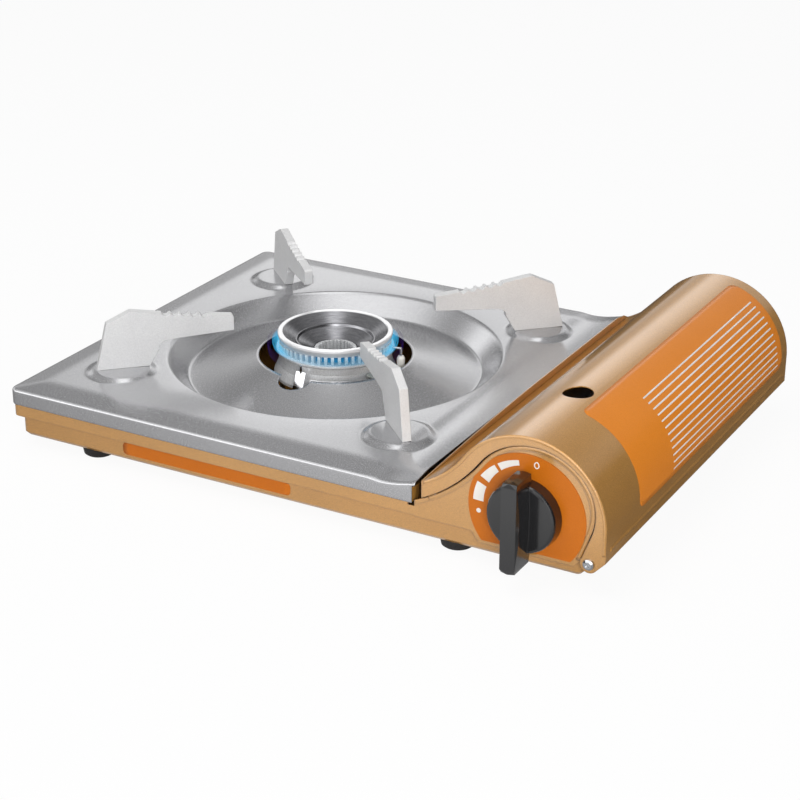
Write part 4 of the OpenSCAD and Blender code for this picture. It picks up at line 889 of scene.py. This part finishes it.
def build_dial_marks():
    verts, faces = [], []
    for a0, a1, in0, in1, out0, out1 in WEDGES:
        base = len(verts)
        for i in range(WEDGE_STEPS + 1):
            t = i / WEDGE_STEPS
            a = a0 + (a1 - a0) * t
            verts.append(dial_point(in0 + (in1 - in0) * t, a, MARK_LIFT))
            verts.append(dial_point(out0 + (out1 - out0) * t, a, MARK_LIFT))
        for i in range(WEDGE_STEPS):
            k = base + 2 * i
            faces.append((k, k + 1, k + 3, k + 2))
    n = MARK_POINTS
    base = len(verts)
    verts += mark_edge(RING_AT, RING_INNER) + mark_edge(RING_AT, RING_OUTER)
    for i in range(n):
        j = (i + 1) % n
        faces.append((base + i, base + n + i, base + n + j, base + j))
    base = len(verts)
    verts += mark_edge(DOT_AT, DOT)
    faces.append(tuple(range(base, base + n)))
    marks = mesh_object("dial_marks", verts, faces, MATERIALS["mark_white"], smooth=False)
    outward(marks, row(*BEHIND_PANEL))
    thicken(marks, PRINT_T)
    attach(marks, "base")


# Flames: not part of the object
# Looks: colour, strength, and the share of what is behind that shows in front and at the side
FLAME_LOOKS = {
    "inner": ((0.14, 0.66, 1.0, 1.0), 1.0, 0.88, 0.35),
    "middle": ((0.07, 0.58, 1.0, 1.0), 0.95, 0.98, 0.5),
    "outer": ((0.05, 0.02, 0.22, 1.0), 0.5, 1.0, 0.6),
    "core": ((0.0, 0.09, 0.24, 1.0), 1.0, 0.0, 0.0),
}
# Bands: look, distance outside the ports, lowest and highest level; the core is light inside the port ring
FLAME_BANDS = {
    "flame_a": ("inner", 0.9, 5.4, 10.3),
    "flame_b": ("middle", 1.9, 5.2, 10.3),
    "flame_c": ("middle", 2.9, 5.4, 10.2),
    "flame_d": ("middle", 4.0, 6.0, 9.8),
    "flame_e": ("outer", 7.0, 2.0, 9.0),
    "flame_core": ("core", -3.7, PORT_BOTTOM + 0.3, PORT_TOP - 0.3),
}
# How much narrower a band is at its foot, and how much wider at its top
BAND_FOOT = 0.5
BAND_TOP = 0.2
BAND_AROUND = 160
# How far a face is turned away where it counts as front and where it counts as side
FLAME_FACING = (0.45, 0.95)


def flame_material(name, colour, strength, front, side):
    mat, tree = new_material(name)
    out = node(tree, "ShaderNodeOutputMaterial")
    gone = node(tree, "ShaderNodeBsdfTransparent")
    facing = node(tree, "ShaderNodeLayerWeight")
    facing.inputs["Blend"].default_value = 0.5
    share = remap(tree, facing.outputs["Facing"], front, side, *FLAME_FACING)
    mixed = mix_shaders(tree, share, glow(tree, colour, strength), gone.outputs["BSDF"])
    link(tree, mixed, out.inputs["Surface"])
    return mat


def flame_band(name, reach, low, high, material):
    """Open band round the ports, a little wider at its top."""
    verts, faces = [], []
    for i in range(BAND_AROUND):
        a = 2 * math.pi * i / BAND_AROUND
        for z, out in ((low, reach - BAND_FOOT), ((low + high) / 2, reach), (high, reach + BAND_TOP)):
            r = PORT_R + out
            verts.append(row(BOWL_X + r * math.cos(a), BOWL_Y + r * math.sin(a), z))
    for i in range(BAND_AROUND):
        j = (i + 1) % BAND_AROUND
        for k in range(2):
            faces.append((i * 3 + k, j * 3 + k, j * 3 + k + 1, i * 3 + k + 1))
    mesh_object(name, verts, faces, material)


def build_flames():
    looks = {key: flame_material("flame_" + key + "_look", *look) for key, look in FLAME_LOOKS.items()}
    for name, (key, reach, low, high) in FLAME_BANDS.items():
        flame_band(name, reach, low, high, looks[key])


# Floor, world and lamps
FLOOR_HALF = 8.0
FLOOR_Z = -0.0002
# Paper: its two tones, and the share of plain white in what the camera sees of it
PAPER = ((0.82, 0.82, 0.82, 1.0), (0.84, 0.84, 0.84, 1.0))
PAPER_WHITE = 0.93
# Mirrored floor: share of Y in the slanting ramp to the right, then the ramps, with their ends in metres:
# value at the low end, value at the high end, low end, high end
FLOOR_SLANT = 0.8
FLOOR_RIGHT = (1.0, 0.10, 0.0, 0.16)
FLOOR_LEFT = (0.55, 1.0, -0.25, 0.05)
# painted shadow: in reflections the floor darkens towards the stove
FLOOR_NEAR_SHADOW = (1.0, 0.6, -0.24, -0.14)


def build_floor():
    corners = ((-1, -1), (1, -1), (1, 1), (-1, 1))
    verts = [(x * FLOOR_HALF, y * FLOOR_HALF, FLOOR_Z) for x, y in corners]
    mat, tree = new_material("floor_look")
    out = node(tree, "ShaderNodeOutputMaterial")
    paper = node(tree, "ShaderNodeBsdfDiffuse")
    vector = coordinates(tree)
    link(tree, mix_colour(tree, noise(tree, vector, 6.0, 2.0), *PAPER), paper.inputs["Color"])
    # in reflections the floor is bright in front, dimmer at the left, dark at the right, and darker from
    # just in front of the stove backwards, which is painted shadow
    split = node(tree, "ShaderNodeSeparateXYZ")
    link(tree, vector, split.inputs["Vector"])
    x, y = split.outputs["X"], split.outputs["Y"]
    right = remap(tree, calculate(tree, "MULTIPLY_ADD", y, FLOOR_SLANT, x), *FLOOR_RIGHT)
    both = calculate(tree, "MULTIPLY", right, remap(tree, x, *FLOOR_LEFT))
    mirrored = glow(tree, WHITE, calculate(tree, "MULTIPLY", both, remap(tree, y, *FLOOR_NEAR_SHADOW)))
    rays = node(tree, "ShaderNodeLightPath")
    shiny = mix_shaders(tree, rays.outputs["Is Glossy Ray"], paper.outputs["BSDF"], mirrored)
    share = remap(tree, rays.outputs["Is Camera Ray"], 0.0, PAPER_WHITE, 0.0, 1.0)
    link(tree, mix_shaders(tree, share, shiny, glow(tree, WHITE, 1.0)), out.inputs["Surface"])
    floor = mesh_object("floor", verts, [(0, 1, 2, 3)], mat, smooth=False)


# Reflected studio: height of the direction, and half its brightness
BANDS = [(0.0, 0.45), (0.08, 0.28), (0.17, 0.24), (0.22, 0.46), (0.27, 0.95), (0.34, 1.0), (0.39, 0.94),
         (0.46, 0.60), (0.53, 0.28), (0.60, 0.20), (0.70, 0.45), (0.78, 0.90), (1.0, 1.0)]
# Light on surfaces that don't mirror, and the tone of what the others mirror
DIFFUSE_LIGHT = 0.36
MIRRORED_TONE = (0.8, 0.8, 0.8, 1.0)
# Direction to the side of the line of sight
SIDEWAYS = (0.875, 0.484, 0.0)
# Brightness of the strip lamp overhead, of the low lamp in front and of the upright strip lamp
OVERHEAD_STRIP = 1.3
LOW_LAMP = 1.3
UPRIGHT_STRIP = 4.0
# Both strip lamps: half width that is fully bright, and half width at which they end
STRIP_WIDTH = (0.07, 0.20)
# Brightness beside the strip lamp overhead
BESIDE_STRIP = 0.3
# Ramps over a direction's X, Y or Z: value at the low end, value at the high end, low end, high end
RAMPS = {
    "to the right": ("X", 1.15, 0.14, -0.62, 0.5),
    "far left": ("X", 0.40, 1.0, -0.64, -0.49),
    "behind": ("Y", 0.0, 1.0, 0.3, 0.6),
    "above": ("Z", 0.0, 1.0, 0.55, 0.88),
    "strip's back end": ("Y", 1.0, 0.3, 0.26, 0.42),
    "strip's front end": ("Y", 0.3, 1.0, -0.22, -0.10),
    "in front of the zenith": ("Y", 0.9, 0.3, -0.25, -0.08),
    "overhead": ("Z", 0.0, 1.0, 0.60, 0.78),
    "low lamp in front": ("Y", LOW_LAMP, 0.0, -0.62, -0.48),
    "low lamp's foot": ("Z", 0.0, 1.0, 0.02, 0.15),
    "upright strip in front": ("Y", 1.0, 0.0, -0.65, -0.45),
}


def build_world():
    world = bpy.data.worlds.new("studio")
    bpy.context.scene.world = world
    world.use_nodes = True
    tree = world.node_tree
    tree.nodes.clear()
    out = node(tree, "ShaderNodeOutputWorld")
    direction = node(tree, "ShaderNodeTexCoord").outputs["Generated"]
    split = node(tree, "ShaderNodeSeparateXYZ")
    link(tree, direction, split.inputs["Vector"])
    ramp = {key: remap(tree, split.outputs[axis], *ends) for key, (axis, *ends) in RAMPS.items()}
    # bright to the left, dark to the right; overhead it is bright on every side
    rear = mix_value(tree, ramp["behind"], 1.0, ramp["far left"])
    across = calculate(tree, "MULTIPLY", ramp["to the right"], rear)
    sides = mix_value(tree, ramp["above"], across, 1.0)
    bands = node(tree, "ShaderNodeValToRGB")
    link(tree, split.outputs["Z"], bands.inputs["Fac"])
    stops = bands.color_ramp
    stops.elements[0].position, stops.elements[1].position = BANDS[0][0], BANDS[-1][0]
    for spot, _ in BANDS[1:-1]:
        stops.elements.new(spot)
    for element, (_, value) in zip(stops.elements, BANDS):
        element.color = (value, value, value, 1.0)
    # overhead: a narrow strip lamp in the line of sight, and light in front of the zenith
    aside = node(tree, "ShaderNodeVectorMath", operation="DOT_PRODUCT")
    aside.inputs[1].default_value = SIDEWAYS
    link(tree, direction, aside.inputs[0])
    width = calculate(tree, "ABSOLUTE", aside.outputs["Value"])
    narrow = remap(tree, width, OVERHEAD_STRIP, BESIDE_STRIP, *STRIP_WIDTH)
    strip = calculate(tree, "MULTIPLY", narrow, ramp["strip's back end"])
    strip = calculate(tree, "MULTIPLY", strip, ramp["strip's front end"])
    lamp = calculate(tree, "MAXIMUM", strip, ramp["in front of the zenith"])
    shaped = mix_value(tree, ramp["overhead"], 1.0, lamp)
    banded = calculate(tree, "MULTIPLY", shaped, bands.outputs["Color"])
    both = calculate(tree, "MULTIPLY", sides, banded)
    doubled = calculate(tree, "MULTIPLY", both, 2.0)
    # low lamp in front, which only folds and edges facing forwards and upwards mirror
    low = calculate(tree, "MULTIPLY_ADD", ramp["low lamp in front"], ramp["low lamp's foot"], doubled)
    # upright strip lamp in the line of sight, which the back of the burner cap's bowl mirrors
    upright = remap(tree, width, UPRIGHT_STRIP, 0.0, *STRIP_WIDTH)
    total = calculate(tree, "MULTIPLY_ADD", upright, ramp["upright strip in front"], low)
    plain = glow(tree, WHITE, DIFFUSE_LIGHT, "Background")
    mirrored = glow(tree, MIRRORED_TONE, total, "Background")
    seen = glow(tree, WHITE, 1.0, "Background")
    rays = node(tree, "ShaderNodeLightPath")
    shiny = mix_shaders(tree, rays.outputs["Is Glossy Ray"], plain, mirrored)
    final = mix_shaders(tree, rays.outputs["Is Camera Ray"], shiny, seen)
    link(tree, final, out.inputs["Surface"])


# Area lamps: place, point aimed at and size, all in metres, and power in watts
LAMPS = {
    "overhead": ((-0.30, -0.30, 1.25), (0.0, 0.0, 0.0), (1.1, 0.9), 8.0),
    "key": ((1.08, -1.4, 0.7), (0.0, 0.0, 0.02), (0.7, 0.7), 22.0),
}


def add_lamp(name, place, aim, size, power):
    lamp = bpy.data.lights.new(name, "AREA")
    lamp.shape = "RECTANGLE"
    lamp.size, lamp.size_y = size
    lamp.energy = power
    obj = bpy.data.objects.new(name, lamp)
    obj.location = place
    obj.rotation_euler = (Vector(aim) - Vector(place)).to_track_quat("-Z", "Y").to_euler()
    obj.visible_glossy = False
    bpy.context.scene.collection.objects.link(obj)


def build_lights():
    for name, (place, aim, size, power) in LAMPS.items():
        add_lamp(name, place, aim, size, power)


add_camera()
build_materials()
dress_nodes()
build_top_plate()
build_film()
build_panel_bead()
build_fold_bead()
build_front_strip()
build_dial_marks()
build_flames()
build_floor()
build_world()
build_lights()
bpy.context.scene.view_settings.view_transform = "Standard"
